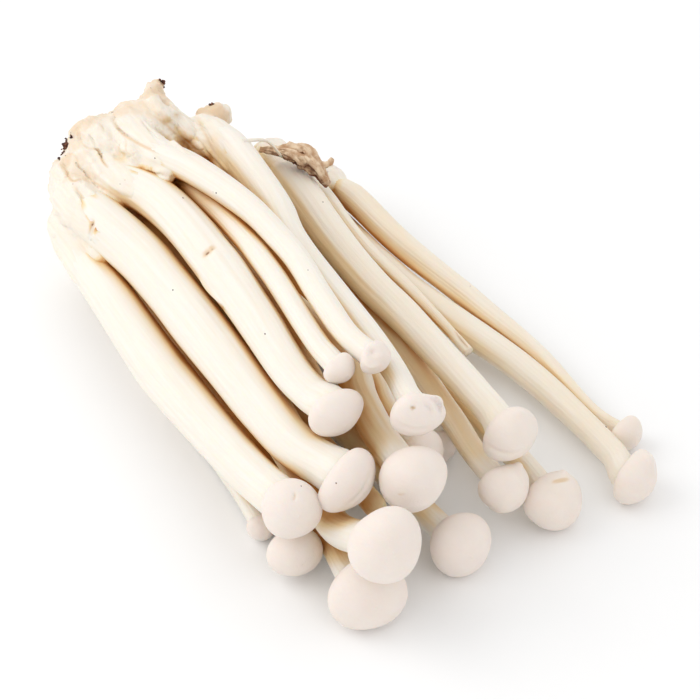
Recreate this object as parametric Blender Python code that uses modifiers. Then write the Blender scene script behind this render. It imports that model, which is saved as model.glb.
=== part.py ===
"""A bunch of long-stemmed white shimeji mushrooms, picked and lying on its side.

The bunch lies along X, with its root clump towards -X and its caps towards +X, and +Z is up.
Nineteen mushrooms and one torn stem grow from the clump. A withered, dried pin lies on it.
Lengths below are millimetres in the bunch's own coordinates; the objects are made in metres,
with the origin under the middle of the bunch, on the surface that it lies on.
"""

import math
from dataclasses import dataclass

import bmesh
import bpy
import numpy as np
from mathutils import Matrix, Vector

MM = 0.001

# The middle of the whole bunch, seen from above, in the bunch's own coordinates.
ORIGIN = (-10.7, 2.85)

STEM_GAP = 0.6  # between neighbouring mushrooms
CLUMP_GAP = 0.35  # between a root and its socket in the clump
REST_DEPTH = 0.3  # how far a lying cap or stem is pressed flat

SPLINE_STEPS = 24
STEM_SAMPLES = 36
STEM_RINGS = 12
CAP_SIDES = 18

# Where along a stem, as shares of its length, its radii are reached: low, low, middle, neck, neck.
RADIUS_PLACES = (0, 0.15, 0.5, 0.9, 1)
ROOT_SHARE = 0.1  # the stretch that narrows to the root
ROOT_NARROWING = 0.5
FLARE_START = 0.94
NECK_FLARE = 0.3
GILLS = CAP_SIDES // 2
GILL_HEIGHT = 0.028  # of the cap's diameter

# The cap's outline from its top, over the rim, to the gills: radius and height, in cap diameters.
CAP_OUTLINE = (
    (0.0, 0.42),
    (0.20, 0.385),
    (0.36, 0.27),
    (0.465, 0.13),
    (0.5, 0.0),
    (0.485, -0.095),
    (0.445, -0.15),
    (0.40, -0.115),
    (0.30, -0.05),
    (0.0, -0.04),
)
GILL_RING = 0.40
WIDEST_NECK = 0.36
STEM_END = 0.12  # how far the stem's end reaches into the cap
STEM_END_NARROWING = 0.8

# The balls that keep a cap clear, in cap diameters: one core, and two rings of small ones.
CORE_HEIGHT = 0.1
CORE_RADIUS = 0.33
RING_BALLS = 8
RING_BALL_RADIUS = 0.18
RING_BALL_PLACES = ((0.325, 0.0), (0.25, 0.15))


@dataclass
class Mushroom:
    """One mushroom: its route from root to cap, its stem's radii low, mid and at the neck, its cap's
    diameter and direction, how far the clump's skin runs up the stem from the root, and how high the
    cap's dome is for its width."""

    name: str
    route: tuple
    radii: tuple
    cap: float = 0.0
    axis: tuple = (1.0, 0.0, 0.0)
    skin: float = 14.0
    dome: float = 1.0


MUSHROOMS = (
    Mushroom(
        "mushroom_01",
        (
            (-80, -40, 21),
            (-67, -42, 19.5),
            (-52, -43, 19),
            (-24, -44, 18),
            (-6, -44, 18),
            (27, -43.5, 21),
            (47, -42, 25),
        ),
        (5.4, 6.5, 5.5),
        14.2,
        (0.85, -0.15, 0.45),
        22.0,
    ),
    Mushroom(
        "mushroom_02",
        ((-79, -36, 9), (-45, -39, 4.5), (0, -40, 4), (20, -41, 4), (31, -41.5, 4.3)),
        (2.8, 3.0, 2.2),
        7.0,
        (0.9, -0.3, 0.1),
    ),
    Mushroom(
        "mushroom_03",
        ((-82, -30, 9), (-40, -31, 8), (0, -32, 7), (25, -35, 6.5), (44, -38, 6.3)),
        (4.0, 4.2, 3.4),
        13.0,
        (0.95, -0.2, 0.15),
    ),
    Mushroom(
        "mushroom_04",
        (
            (-80, -38, 29),
            (-63, -37, 28),
            (-43, -34, 27),
            (-7, -34, 27),
            (26, -34, 27),
            (38, -32, 27.5),
            (48, -29, 28),
        ),
        (6.0, 6.0, 5.0),
        15.5,
        (1.0, 0.3, -0.1),
        18.0,
        0.85,
    ),
    Mushroom(
        "mushroom_05",
        ((-82, -14, 24), (-40, -11, 24), (5, -6, 24), (23, -10, 24), (38, -13, 25), (55, -15, 28)),
        (4.2, 4.2, 4.2),
        16.0,
        (0.9, -0.1, 0.35),
    ),
    Mushroom(
        "mushroom_06",
        ((-80, -3, 25), (-40, -2, 24), (10, 0, 20), (25, -3, 19), (40, -3, 18)),
        (4.2, 4.2, 3.6),
        11.0,
        (1.0, 0.1, 0.1),
    ),
    Mushroom(
        "mushroom_07",
        ((-82, -26, 18), (-40, -27, 17), (0, -28, 16), (37, -31, 15), (51, -32, 15.5), (68, -30, 25)),
        (4.0, 4.2, 4.0),
        17.3,
        (0.8, -0.2, 0.5),
    ),
    Mushroom(
        "mushroom_08",
        ((-80, -21, 8), (-30, -22, 6), (20, -26, 6), (42, -31, 6), (53.5, -32.7, 7), (63.7, -32.2, 8.4)),
        (3.8, 4.0, 3.5),
        18.4,
        (0.9, -0.2, 0.25),
        dome=0.8,
    ),
    Mushroom(
        "mushroom_09",
        ((-80, -12, 8), (-30, -12, 7), (20, -9, 6), (49, -7, 6.5), (62, -5.9, 7.5)),
        (3.8, 3.8, 3.2),
        15.6,
        (0.9, -0.1, 0.25),
    ),
    Mushroom(
        "mushroom_10",
        (
            (-83, -31, 32),
            (-70, -28, 34),
            (-61, -24, 35),
            (-45, -22, 36),
            (-29, -22, 36),
            (-3, -24, 36),
            (19, -26, 36.5),
            (35.5, -24, 38.2),
        ),
        (5.6, 5.9, 4.4),
        13.0,
        (1.0, 0.0, -0.1),
        18.0,
        0.9,
    ),
    Mushroom(
        "mushroom_11",
        ((-68, -14, 34), (-51, -14, 37), (-33, -14, 39), (-12, -15, 40.5), (11, -18, 41.5), (29, -20, 42.5)),
        (2.6, 3.0, 2.8),
        7.8,
        (1.0, 0.1, 0.0),
        10.0,
    ),
    Mushroom(
        "mushroom_12",
        (
            (-86, -20, 39),
            (-68, -18, 41.5),
            (-55, -14, 43),
            (-32, -10, 44),
            (-12, -9, 44),
            (5, -11, 44),
            (22, -13, 45),
            (32, -12, 46),
        ),
        (4.2, 3.3, 3.0),
        8.4,
        (1.0, 0.3, 0.1),
        20.0,
    ),
    Mushroom(
        "mushroom_13",
        (
            (-82, 0, 33),
            (-69, 2, 36),
            (-56, 1, 37.5),
            (-37, -1, 38),
            (-20, -4, 38),
            (26, -6, 39),
            (48, -10, 40),
        ),
        (4.8, 3.7, 2.9),
        12.4,
        (0.85, -0.3, -0.05),
        20.0,
        0.75,
    ),
    Mushroom(
        "mushroom_14",
        (
            (-80, 20, 19),
            (-61, 19, 21),
            (-39, 16, 21.5),
            (-16, 15, 22),
            (4, 16, 22),
            (37, 15, 24),
            (51, 14, 25),
        ),
        (5.3, 4.5, 3.8),
        14.2,
        (1.0, 0.1, 0.0),
        6.0,
    ),
    Mushroom(
        "mushroom_15",
        ((-78, 10, 12), (-40, 14, 13), (-4, 14.5, 13), (28, 12, 13), (42, 10.5, 12.5), (56, 10, 13)),
        (3.8, 3.8, 3.0),
        13.0,
        (0.95, -0.1, 0.1),
        6.0,
    ),
    Mushroom(
        "mushroom_16",
        ((-75, 21, 8), (-40, 22, 7), (11, 21, 6), (44, 22, 6.5), (61, 21, 7.4)),
        (3.8, 3.8, 3.2),
        15.0,
        (0.95, -0.1, 0.2),
        6.0,
    ),
    Mushroom(
        "mushroom_17",
        (
            (-74, 29, 9),
            (-43, 27, 9),
            (-30, 29, 8.5),
            (-7, 34, 8),
            (17, 41, 7),
            (45, 43.2, 6.5),
            (63.3, 42.8, 6.5),
        ),
        (3.8, 4.0, 3.3),
        13.4,
        (1.0, 0.45, 0.0),
        6.0,
    ),
    Mushroom(
        "mushroom_18",
        (
            (-70, 32, 12),
            (-61, 33, 13),
            (-31, 37, 12),
            (-7, 42, 10),
            (15, 46, 8),
            (37, 48, 5.5),
            (48, 51, 4.5),
        ),
        (3.8, 3.1, 1.8),
        9.6,
        (1.0, 0.2, 0.0),
        3.0,
    ),
    Mushroom(
        "mushroom_19",
        ((-78, 2, 9), (-40, 3, 7), (5, 6, 4.5), (29, 9, 4.5)),
        (3.6, 3.6, 3.0),
        9.0,
        (1.0, 0.0, 0.0),
    ),
    Mushroom(
        "torn_stem",
        ((-72, 26, 18), (-56, 26, 17), (-35, 25, 16), (-11, 27, 15), (10, 29, 12)),
        (2.0, 2.0, 1.3),
        skin=5.0,
    ),
    Mushroom(
        "withered_pin",
        ((-71, 13.5, 29), (-66, 17.5, 30), (-62, 21, 29.5), (-58, 23.5, 26.5), (-56, 25.5, 22.5)),
        (1.3, 3.2, 1.5),
        skin=0.0,
    ),
)
WITHERED_FOLDS = 3
WITHERED_FOLD_DEPTH = 0.3
WITHERED_TWIST = 0.08  # radians for each millimetre

# Where two pieces would touch, they move apart mostly along this slant, a share of the way each round.
GIVING_WAY = (0.644, -0.372, 0.669)
SIDEWAYS = 0.3
SETTLING_ROUNDS = 240
SETTLING_SHARE = 0.4
SETTLING_SMOOTHINGS = 6

# The clump's lobes, which fill in between the roots: centre and half sizes.
CLUMP_LOBES = (
    ((-82, -31, 26), (11, 12, 13)),
    ((-86, -26, 32), (11, 11, 10.5)),
    ((-85, -15, 31.8), (11, 13, 13)),
    ((-80.5, -23.5, 10), (10.5, 16, 11.5)),
    ((-79, 1, 11), (10, 14, 12)),
    ((-79, 4, 22), (9, 10, 11)),
    ((-74, 22, 10), (7, 12, 11)),
    ((-84, 6.3, 34.3), (3.5, 4.5, 3.8)),
)
LOBE_SEGMENTS = 24
LOBE_RINGS = 14
STUB_WALL = 0.8
STUB_TAIL = 3.0  # how far a root's stub reaches behind the root
STUB_NARROWING = (0.45, 0.8)
SOCKET_SCALE = 1.02
CLUMP_VOXEL = 1.2
CLUMP_SMOOTHINGS = 4
CLUMP_TRIANGLES = 1500

# The horn of cut root that stands up at the back of the clump: route and radii.
HORN_ROUTE = ((-84, -9, 37.5), (-90.5, -8.5, 42), (-92.7, -4.5, 45.5))
HORN_RADII = (6.0, 3.3, 0.9)
HORN_RINGS = 6


def spline(route, count):
    """That many points, evenly spaced along a smooth curve through the route's own points."""
    before = 2 * np.array(route[0]) - route[1]
    beyond = 2 * np.array(route[-1]) - route[-2]
    knots = np.array([before, *route, beyond], float)
    fine = []
    for a, b, c, d in zip(knots, knots[1:], knots[2:], knots[3:]):
        for t in np.linspace(0, 1, SPLINE_STEPS, endpoint=False):
            bend = (2 * a - 5 * b + 4 * c - d) * t**2 + (3 * b - a - 3 * c + d) * t**3
            fine.append(0.5 * (2 * b + (c - a) * t + bend))
    fine = np.array([*fine, knots[-2]])
    along = np.concatenate([[0], np.cumsum(np.linalg.norm(np.diff(fine, axis=0), axis=1))])
    wanted = np.linspace(0, along[-1], count)
    return np.stack([np.interp(wanted, along, fine[:, k]) for k in range(3)], axis=1)


def stem_radius(mushroom, t):
    """The stem's radius at t, from 0 at the root to 1 at the cap, where its neck flares."""
    low, middle, neck = mushroom.radii
    widest = WIDEST_NECK * mushroom.cap if mushroom.cap else neck
    full = np.interp(t, RADIUS_PLACES, (low, low, middle, min(neck, widest), min(neck, widest)))
    full = full * np.interp(t, (0, ROOT_SHARE), (ROOT_NARROWING, 1))
    if not mushroom.cap:
        return full
    flare = 1 + NECK_FLARE * np.clip((t - FLARE_START) / (1 - FLARE_START), 0, 1) ** 2
    return np.where(t > FLARE_START, np.minimum(full * flare, widest), full)


def unit(vector):
    return np.array(vector, float) / np.linalg.norm(vector)


def cap_balls(mushroom):
    """Balls that fill the cap, for keeping it clear: offset from its centre, and radius."""
    axis = unit(mushroom.axis)
    side = unit(np.cross(axis, (0, 0, 1)))
    up = np.cross(side, axis)
    balls = [(axis * CORE_HEIGHT * mushroom.cap, CORE_RADIUS * mushroom.cap)]
    for k in range(RING_BALLS):
        turn = k * math.tau / RING_BALLS
        outwards = side * math.cos(turn) + up * math.sin(turn)
        for reach, height in RING_BALL_PLACES:
            balls.append(((outwards * reach + axis * height) * mushroom.cap, RING_BALL_RADIUS * mushroom.cap))
    return balls


def settle(mushrooms):
    """Every stem's sample points, moved apart until the mushrooms clear each other and lie on the surface."""
    t = np.linspace(0, 1, STEM_SAMPLES)
    lines = np.array([spline(m.route, STEM_SAMPLES) for m in mushrooms])
    owner, sample, offset, radius = [], [], [], []
    for i, m in enumerate(mushrooms):
        balls = [(k, (0, 0, 0), stem_radius(m, t[k])) for k in range(STEM_SAMPLES)]
        if m.cap:
            balls += [(STEM_SAMPLES - 1, away, size) for away, size in cap_balls(m)]
        for k, away, size in balls:
            owner.append(i)
            sample.append(k)
            offset.append(away)
            radius.append(size)
    owner, sample = np.array(owner), np.array(sample)
    offset, radius = np.array(offset, float), np.array(radius)
    reach = radius[:, None] + radius[None, :] + STEM_GAP
    reach[owner[:, None] == owner[None, :]] = 0
    slant = unit(GIVING_WAY)
    for _ in range(SETTLING_ROUNDS):
        balls = lines[owner, sample] + offset
        apart = balls[:, None, :] - balls[None, :, :]
        distance = np.linalg.norm(apart, axis=2) + 1e-9
        push = np.clip(reach - distance, 0, None)
        move = (apart / distance[:, :, None] * push[:, :, None]).sum(axis=1) * SETTLING_SHARE
        along = (move @ slant)[:, None] * slant
        move = along + SIDEWAYS * (move - along)
        sunk = np.clip(radius - REST_DEPTH - balls[:, 2], 0, None)
        move += sunk[:, None] * slant / slant[2]
        moves = np.zeros_like(lines)
        np.add.at(moves, (owner, sample), move)
        for _ in range(SETTLING_SMOOTHINGS):
            padded = np.concatenate([moves[:, :1], moves, moves[:, -1:]], axis=1)
            moves = 0.25 * padded[:, :-2] + 0.5 * padded[:, 1:-1] + 0.25 * padded[:, 2:]
        lines = lines + moves
    return lines


def material(name, colour, roughness):
    made = bpy.data.materials.new(name)
    made.use_nodes = True
    shader = made.node_tree.nodes["Principled BSDF"]
    shader.inputs["Base Color"].default_value = (*colour, 1)
    shader.inputs["Roughness"].default_value = roughness
    shader.inputs["Metallic"].default_value = 0
    return made


def tube(name, points, radii, sides_level=3):
    """A closed tube through the points, in metres, as a mesh object: a curve with a bevel, made a mesh."""
    data = bpy.data.curves.new(name, "CURVE")
    data.dimensions = "3D"
    data.bevel_depth = MM
    data.bevel_resolution = sides_level
    data.use_fill_caps = True
    line = data.splines.new("POLY")
    line.points.add(len(points) - 1)
    for knot, place, size in zip(line.points, points, radii):
        knot.co = (*(Vector(place) * MM), 1)
        knot.radius = size
    guide = bpy.data.objects.new(name, data)
    bpy.context.scene.collection.objects.link(guide)
    made = as_mesh(guide)
    mesh = bmesh.new()
    mesh.from_mesh(made.data)
    bmesh.ops.remove_doubles(mesh, verts=mesh.verts, dist=1e-6)
    mesh.to_mesh(made.data)
    mesh.free()
    return made


def as_mesh(obj):
    """The object as its modifiers leave it, as a plain mesh of the same name. The object is removed."""
    bpy.context.view_layer.update()
    data = bpy.data.meshes.new_from_object(obj.evaluated_get(bpy.context.evaluated_depsgraph_get()))
    name, place = obj.name, obj.matrix_world.copy()
    bpy.data.objects.remove(obj)
    made = bpy.data.objects.new(name, data)
    made.matrix_world = place
    bpy.context.scene.collection.objects.link(made)
    return made


def boolean(obj, other, operation):
    """The object joined with, or cut by, another, which is removed."""
    change = obj.modifiers.new(operation, "BOOLEAN")
    change.operation = operation
    change.object = other
    change.solver = "EXACT"
    made = as_mesh(obj)
    bpy.data.objects.remove(other)
    return made


def cap_solid(mushroom, centre):
    """The cap: its outline turned about its axis, with gills raised in the ring between rim and stem."""
    mesh = bpy.data.meshes.new("cap")
    size = mushroom.cap * MM
    points = [(r * size, 0, z * size * (mushroom.dome if z > 0 else 1)) for r, z in CAP_OUTLINE]
    mesh.from_pydata(points, [(k, k + 1) for k in range(len(points) - 1)], [])
    obj = bpy.data.objects.new("cap", mesh)
    bpy.context.scene.collection.objects.link(obj)
    screw = obj.modifiers.new("turn", "SCREW")
    screw.axis = "Z"
    screw.steps = screw.render_steps = CAP_SIDES
    screw.use_merge_vertices = True
    screw.merge_threshold = 1e-5
    made = as_mesh(obj)
    for v in made.data.vertices:
        if v.co.z < 0 and abs(math.hypot(v.co.x, v.co.y) - GILL_RING * size) < 0.01 * size:
            v.co.z += GILL_HEIGHT * size * math.cos(GILLS * math.atan2(v.co.y, v.co.x))
    turn = Vector((0, 0, 1)).rotation_difference(Vector(unit(mushroom.axis)))
    made.data.transform(Matrix.Translation(Vector(centre) * MM) @ turn.to_matrix().to_4x4())
    return made


def cut_flat(obj):
    """Cuts off what is under the surface, and closes the cut with a flat face."""
    mesh = bmesh.new()
    mesh.from_mesh(obj.data)
    everything = mesh.verts[:] + mesh.edges[:] + mesh.faces[:]
    cut = bmesh.ops.bisect_plane(mesh, geom=everything, dist=1e-7, plane_no=(0, 0, 1), clear_inner=True)
    rim = [e for e in cut["geom_cut"] if isinstance(e, bmesh.types.BMEdge)]
    if rim:
        bmesh.ops.holes_fill(mesh, edges=rim)
    mesh.to_mesh(obj.data)
    mesh.free()


def weld(obj):
    """Welds points that lie on each other, closes the slits, and drops flaps folded flat on themselves."""
    mesh = bmesh.new()
    mesh.from_mesh(obj.data)
    bmesh.ops.triangulate(mesh, faces=mesh.faces)
    bmesh.ops.dissolve_degenerate(mesh, dist=2e-6, edges=mesh.edges)
    bmesh.ops.remove_doubles(mesh, verts=mesh.verts, dist=2e-6)
    bmesh.ops.holes_fill(mesh, edges=[e for e in mesh.edges if e.is_boundary])
    bmesh.ops.triangulate(mesh, faces=mesh.faces)
    same = {}
    for face in mesh.faces:
        same.setdefault(frozenset(face.verts), []).append(face)
    flaps = [face for faces in same.values() if len(faces) > 1 for face in faces]
    bmesh.ops.delete(mesh, geom=flaps, context="FACES")
    mesh.to_mesh(obj.data)
    mesh.free()


def ring_samples(line, first, last, count):
    """That many of a line's samples, evenly spaced from first to last, with their places along the stem."""
    index = np.linspace(first, last, count)
    points = np.stack([np.interp(index, range(len(line)), line[:, k]) for k in range(3)], axis=1)
    return points, index / (len(line) - 1)


def mushroom_object(mushroom, line):
    """One mushroom: its stem, and its cap joined to it."""
    points, t = ring_samples(line, 0, STEM_SAMPLES - 1, STEM_RINGS)
    radii = stem_radius(mushroom, t)
    if mushroom.cap:
        points = np.append(points, [line[-1] + unit(mushroom.axis) * STEM_END * mushroom.cap], axis=0)
        radii = np.append(radii, STEM_END_NARROWING * radii[-1])
    obj = tube(mushroom.name, points, radii)
    if mushroom.cap:
        obj = boolean(obj, cap_solid(mushroom, line[-1]), "UNION")
    cut_flat(obj)
    return obj


def root_cutter(mushroom, line):
    """The root and lower stem, swollen by the gap that its socket leaves round it."""
    last = STEM_SAMPLES // 2
    points, t = ring_samples(line, 0, last, 1 + round(last * (STEM_RINGS - 1) / (STEM_SAMPLES - 1)))
    radii = stem_radius(mushroom, t) * SOCKET_SCALE + CLUMP_GAP
    points[0] -= unit(points[1] - points[0]) * CLUMP_GAP
    return tube("root cutter", points, radii)


def stub(mushroom, line):
    """The skin fused round a root: a lobe from behind the root to where the stem comes clear of the clump."""
    spacing = np.linalg.norm(line[1] - line[0])
    points = line[: max(2, round(mushroom.skin / spacing))]
    back = unit(points[0] - points[1])
    points = np.concatenate([[points[0] + back * STUB_TAIL], points])
    radii = np.full(len(points), mushroom.radii[0] + STUB_WALL)
    radii[:2] *= STUB_NARROWING
    return tube("stub", points, radii)


def lobe(centre, half):
    """An egg-shaped lump of the clump."""
    bpy.ops.mesh.primitive_uv_sphere_add(segments=LOBE_SEGMENTS, ring_count=LOBE_RINGS, radius=1)
    obj = bpy.context.object
    obj.data.transform(Matrix.Translation(Vector(centre) * MM) @ Matrix.Diagonal((*(Vector(half) * MM), 1)))
    return obj


def joined(objects, name):
    """Several objects' meshes in one object."""
    mesh = bmesh.new()
    for obj in objects:
        mesh.from_mesh(obj.data)
        bpy.data.objects.remove(obj)
    data = bpy.data.meshes.new(name)
    mesh.to_mesh(data)
    mesh.free()
    made = bpy.data.objects.new(name, data)
    bpy.context.scene.collection.objects.link(made)
    return made


def largest_piece(obj):
    """Drops loose scraps, and keeps the object's largest body."""
    mesh = bmesh.new()
    mesh.from_mesh(obj.data)
    left, bodies = set(mesh.verts), []
    while left:
        body, edge = set(), [left.pop()]
        while edge:
            v = edge.pop()
            body.add(v)
            fresh = [e.other_vert(v) for e in v.link_edges if e.other_vert(v) in left]
            left.difference_update(fresh)
            edge.extend(fresh)
        bodies.append(body)
    keep = max(bodies, key=len)
    bmesh.ops.delete(mesh, geom=[v for v in mesh.verts if v not in keep], context="VERTS")
    mesh.to_mesh(obj.data)
    mesh.free()


def clump_object(lines):
    """The root clump: lobes and stubs fused in one skin, with a socket for each root."""
    parts = [lobe(*place) for place in CLUMP_LOBES]
    parts += [stub(m, line) for m, line in zip(MUSHROOMS, lines) if m.skin]
    horn = spline(HORN_ROUTE, HORN_RINGS)
    parts.append(tube("horn", horn, np.interp(np.linspace(0, 2, HORN_RINGS), range(3), HORN_RADII)))
    obj = joined(parts, "root_clump")
    fuse = obj.modifiers.new("fuse", "REMESH")
    fuse.mode = "VOXEL"
    fuse.voxel_size = CLUMP_VOXEL * MM
    soften = obj.modifiers.new("soften", "SMOOTH")
    soften.iterations = CLUMP_SMOOTHINGS
    obj = as_mesh(obj)
    thin = obj.modifiers.new("thin", "DECIMATE")
    thin.ratio = CLUMP_TRIANGLES / (2 * len(obj.data.polygons))
    obj = as_mesh(obj)
    for m, line in zip(MUSHROOMS, lines):
        obj = boolean(obj, root_cutter(m, line), "DIFFERENCE")
    cut_flat(obj)
    largest_piece(obj)
    weld(obj)
    return obj


def fold(obj, line):
    """Sinks the withered pin's sides into deep folds along it."""
    for v in obj.data.vertices:
        place = np.array(v.co) / MM
        near = line[np.argmin(np.linalg.norm(line - place, axis=1))]
        out = place - near
        turn = math.atan2(out[2], out[1]) + WITHERED_TWIST * place[0]
        depth = WITHERED_FOLD_DEPTH * max(0, math.cos(WITHERED_FOLDS * turn))
        v.co = Vector(near + out * (1 - depth)) * MM


def main():
    for obj in list(bpy.data.objects):
        bpy.data.objects.remove(obj)
    lines = settle(MUSHROOMS)
    flesh = material("mushroom flesh", (0.93, 0.88, 0.79), 0.5)
    root = material("root tissue", (0.86, 0.76, 0.62), 0.6)
    dried = material("dried tissue", (0.50, 0.36, 0.24), 0.8)
    made = [(clump_object(lines), root)]
    for m, line in zip(MUSHROOMS, lines):
        obj = mushroom_object(m, line)
        if m.name == "withered_pin":
            fold(obj, line)
        made.append((obj, dried if m.name == "withered_pin" else flesh))
    bunch = bpy.data.collections.new("white shimeji bunch")
    bpy.context.scene.collection.children.link(bunch)
    for obj, look in made:
        obj.data.transform(Matrix.Translation(Vector((-ORIGIN[0], -ORIGIN[1], 0)) * MM))
        obj.data.materials.clear()
        obj.data.materials.append(look)
        obj.data.shade_smooth()
        bpy.context.scene.collection.objects.unlink(obj)
        bunch.objects.link(obj)


main()
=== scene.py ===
"""The looks of a white shimeji mushroom bunch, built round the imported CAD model.

Millimetres in the bunch's own coordinates, as in the part's source, until a mesh is made. There the
lengths become metres, and the origin moves under the middle of the bunch. Pixels are those of the
photograph, and each is cast from the camera onto the piece that it shows.
"""

import math
from dataclasses import dataclass

import bmesh
import bpy
import numpy as np
from mathutils import Matrix, Vector, noise
from mathutils.bvhtree import BVHTree
from mathutils.kdtree import KDTree


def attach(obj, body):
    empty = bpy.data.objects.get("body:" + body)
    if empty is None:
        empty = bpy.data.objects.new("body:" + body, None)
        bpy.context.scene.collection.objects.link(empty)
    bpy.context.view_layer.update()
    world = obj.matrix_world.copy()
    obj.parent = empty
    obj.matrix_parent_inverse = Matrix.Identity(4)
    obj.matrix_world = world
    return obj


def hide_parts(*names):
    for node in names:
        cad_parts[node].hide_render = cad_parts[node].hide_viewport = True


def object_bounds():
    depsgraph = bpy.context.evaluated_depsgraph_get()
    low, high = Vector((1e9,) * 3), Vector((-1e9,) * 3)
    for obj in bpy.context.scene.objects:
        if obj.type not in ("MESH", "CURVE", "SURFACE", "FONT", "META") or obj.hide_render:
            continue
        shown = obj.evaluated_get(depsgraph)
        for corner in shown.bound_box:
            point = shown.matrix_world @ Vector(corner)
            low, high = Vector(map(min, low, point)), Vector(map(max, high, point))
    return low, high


MM = 0.001
ORIGIN = np.array([-10.7, 2.85, 0.0])

# The photograph's frame and the camera that saw it.
IMAGE_SIZE = 700
LENS = 120.0
SENSOR = 36.0
CAMERA_DISTANCE = 583.0
CAMERA_AIM = np.array([0.0, 0.0, 18.0])
CAMERA_DROP = math.radians(42)
CAMERA_TURN = math.radians(60)

# How the stems settle, as in the part's source.
STEM_GAP = 0.6
REST_DEPTH = 0.3
SPLINE_STEPS = 24
STEM_SAMPLES = 36
RADIUS_PLACES = (0, 0.15, 0.5, 0.9, 1)
ROOT_SHARE = 0.1
ROOT_NARROWING = 0.5
FLARE_START = 0.94
NECK_FLARE = 0.3
WIDEST_NECK = 0.36
CORE_HEIGHT = 0.1
CORE_RADIUS = 0.33
RING_BALLS = 8
RING_BALL_RADIUS = 0.18
RING_BALL_PLACES = ((0.325, 0.0), (0.25, 0.15))
GIVING_WAY = (0.644, -0.372, 0.669)
SIDEWAYS = 0.3
SETTLING_ROUNDS = 240
SETTLING_SHARE = 0.4
SETTLING_SMOOTHINGS = 6

# How fine the surfaces are: sides and rings of a mushroom, and of the thin pieces.
SIDES = 96
GILLS = 24
STEM_RINGS = 140
GILL_RINGS = 8
CAP_RINGS = 30
STUB_SAMPLES = 200
HORN_RINGS = 14
SCRAP_SIDES = 120
SCRAP_RINGS = 130
CURL_RINGS = 40
PIN_SIDES = 48
PIN_RINGS = 90
THREAD_SIDES = 12
THREAD_RINGS = 30
LOBE_FINENESS = 4
CRUMB_FINENESS = 2

# Relief on a stem, and on a cap's rim in shares of its width: height, random seed, how many waves run
# round it, and their pitch along it.
STEM_OVAL = (0.05, 0, (2, 2, 3), 40.0)
STEM_GROOVES = (0.010, 1, (7, 9, 12, 16), 25.0)
STEM_SWELLS = (0.12, 5, (1, 2, 4), 7.0)
STEM_FIBRES = (0.035, 2, (17, 21, 24, 28), 12.0)
RIM_WAVES = (0.012, 3, (1, 2, 4, 5), 9.0)
RIM_BENDS = (0.018, 4, (1, 2, 3), 9.0)

# The gills' height, and where they start behind the cap's middle, in cap diameters.
GILL_HEIGHT = 0.022
GILL_START = -0.05

# The cap's outline from its gills, over the rim, to its top: radius and height, in cap diameters.
CAP_OUTLINE = (
    (0.40, -0.105),
    (0.445, -0.14),
    (0.485, -0.095),
    (0.5, 0.0),
    (0.465, 0.13),
    (0.36, 0.27),
    (0.20, 0.375),
    (0.0, 0.41),
)


@dataclass
class Mushroom:
    """One mushroom: its route from root to cap, its stem's radii low, mid and at the neck, its cap's
    diameter and direction, how far the clump's skin runs up the stem from the root, and how high the
    cap's dome is for its width."""

    name: str
    route: tuple
    radii: tuple
    cap: float = 0.0
    axis: tuple = (1.0, 0.0, 0.0)
    skin: float = 14.0
    dome: float = 1.0


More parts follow.
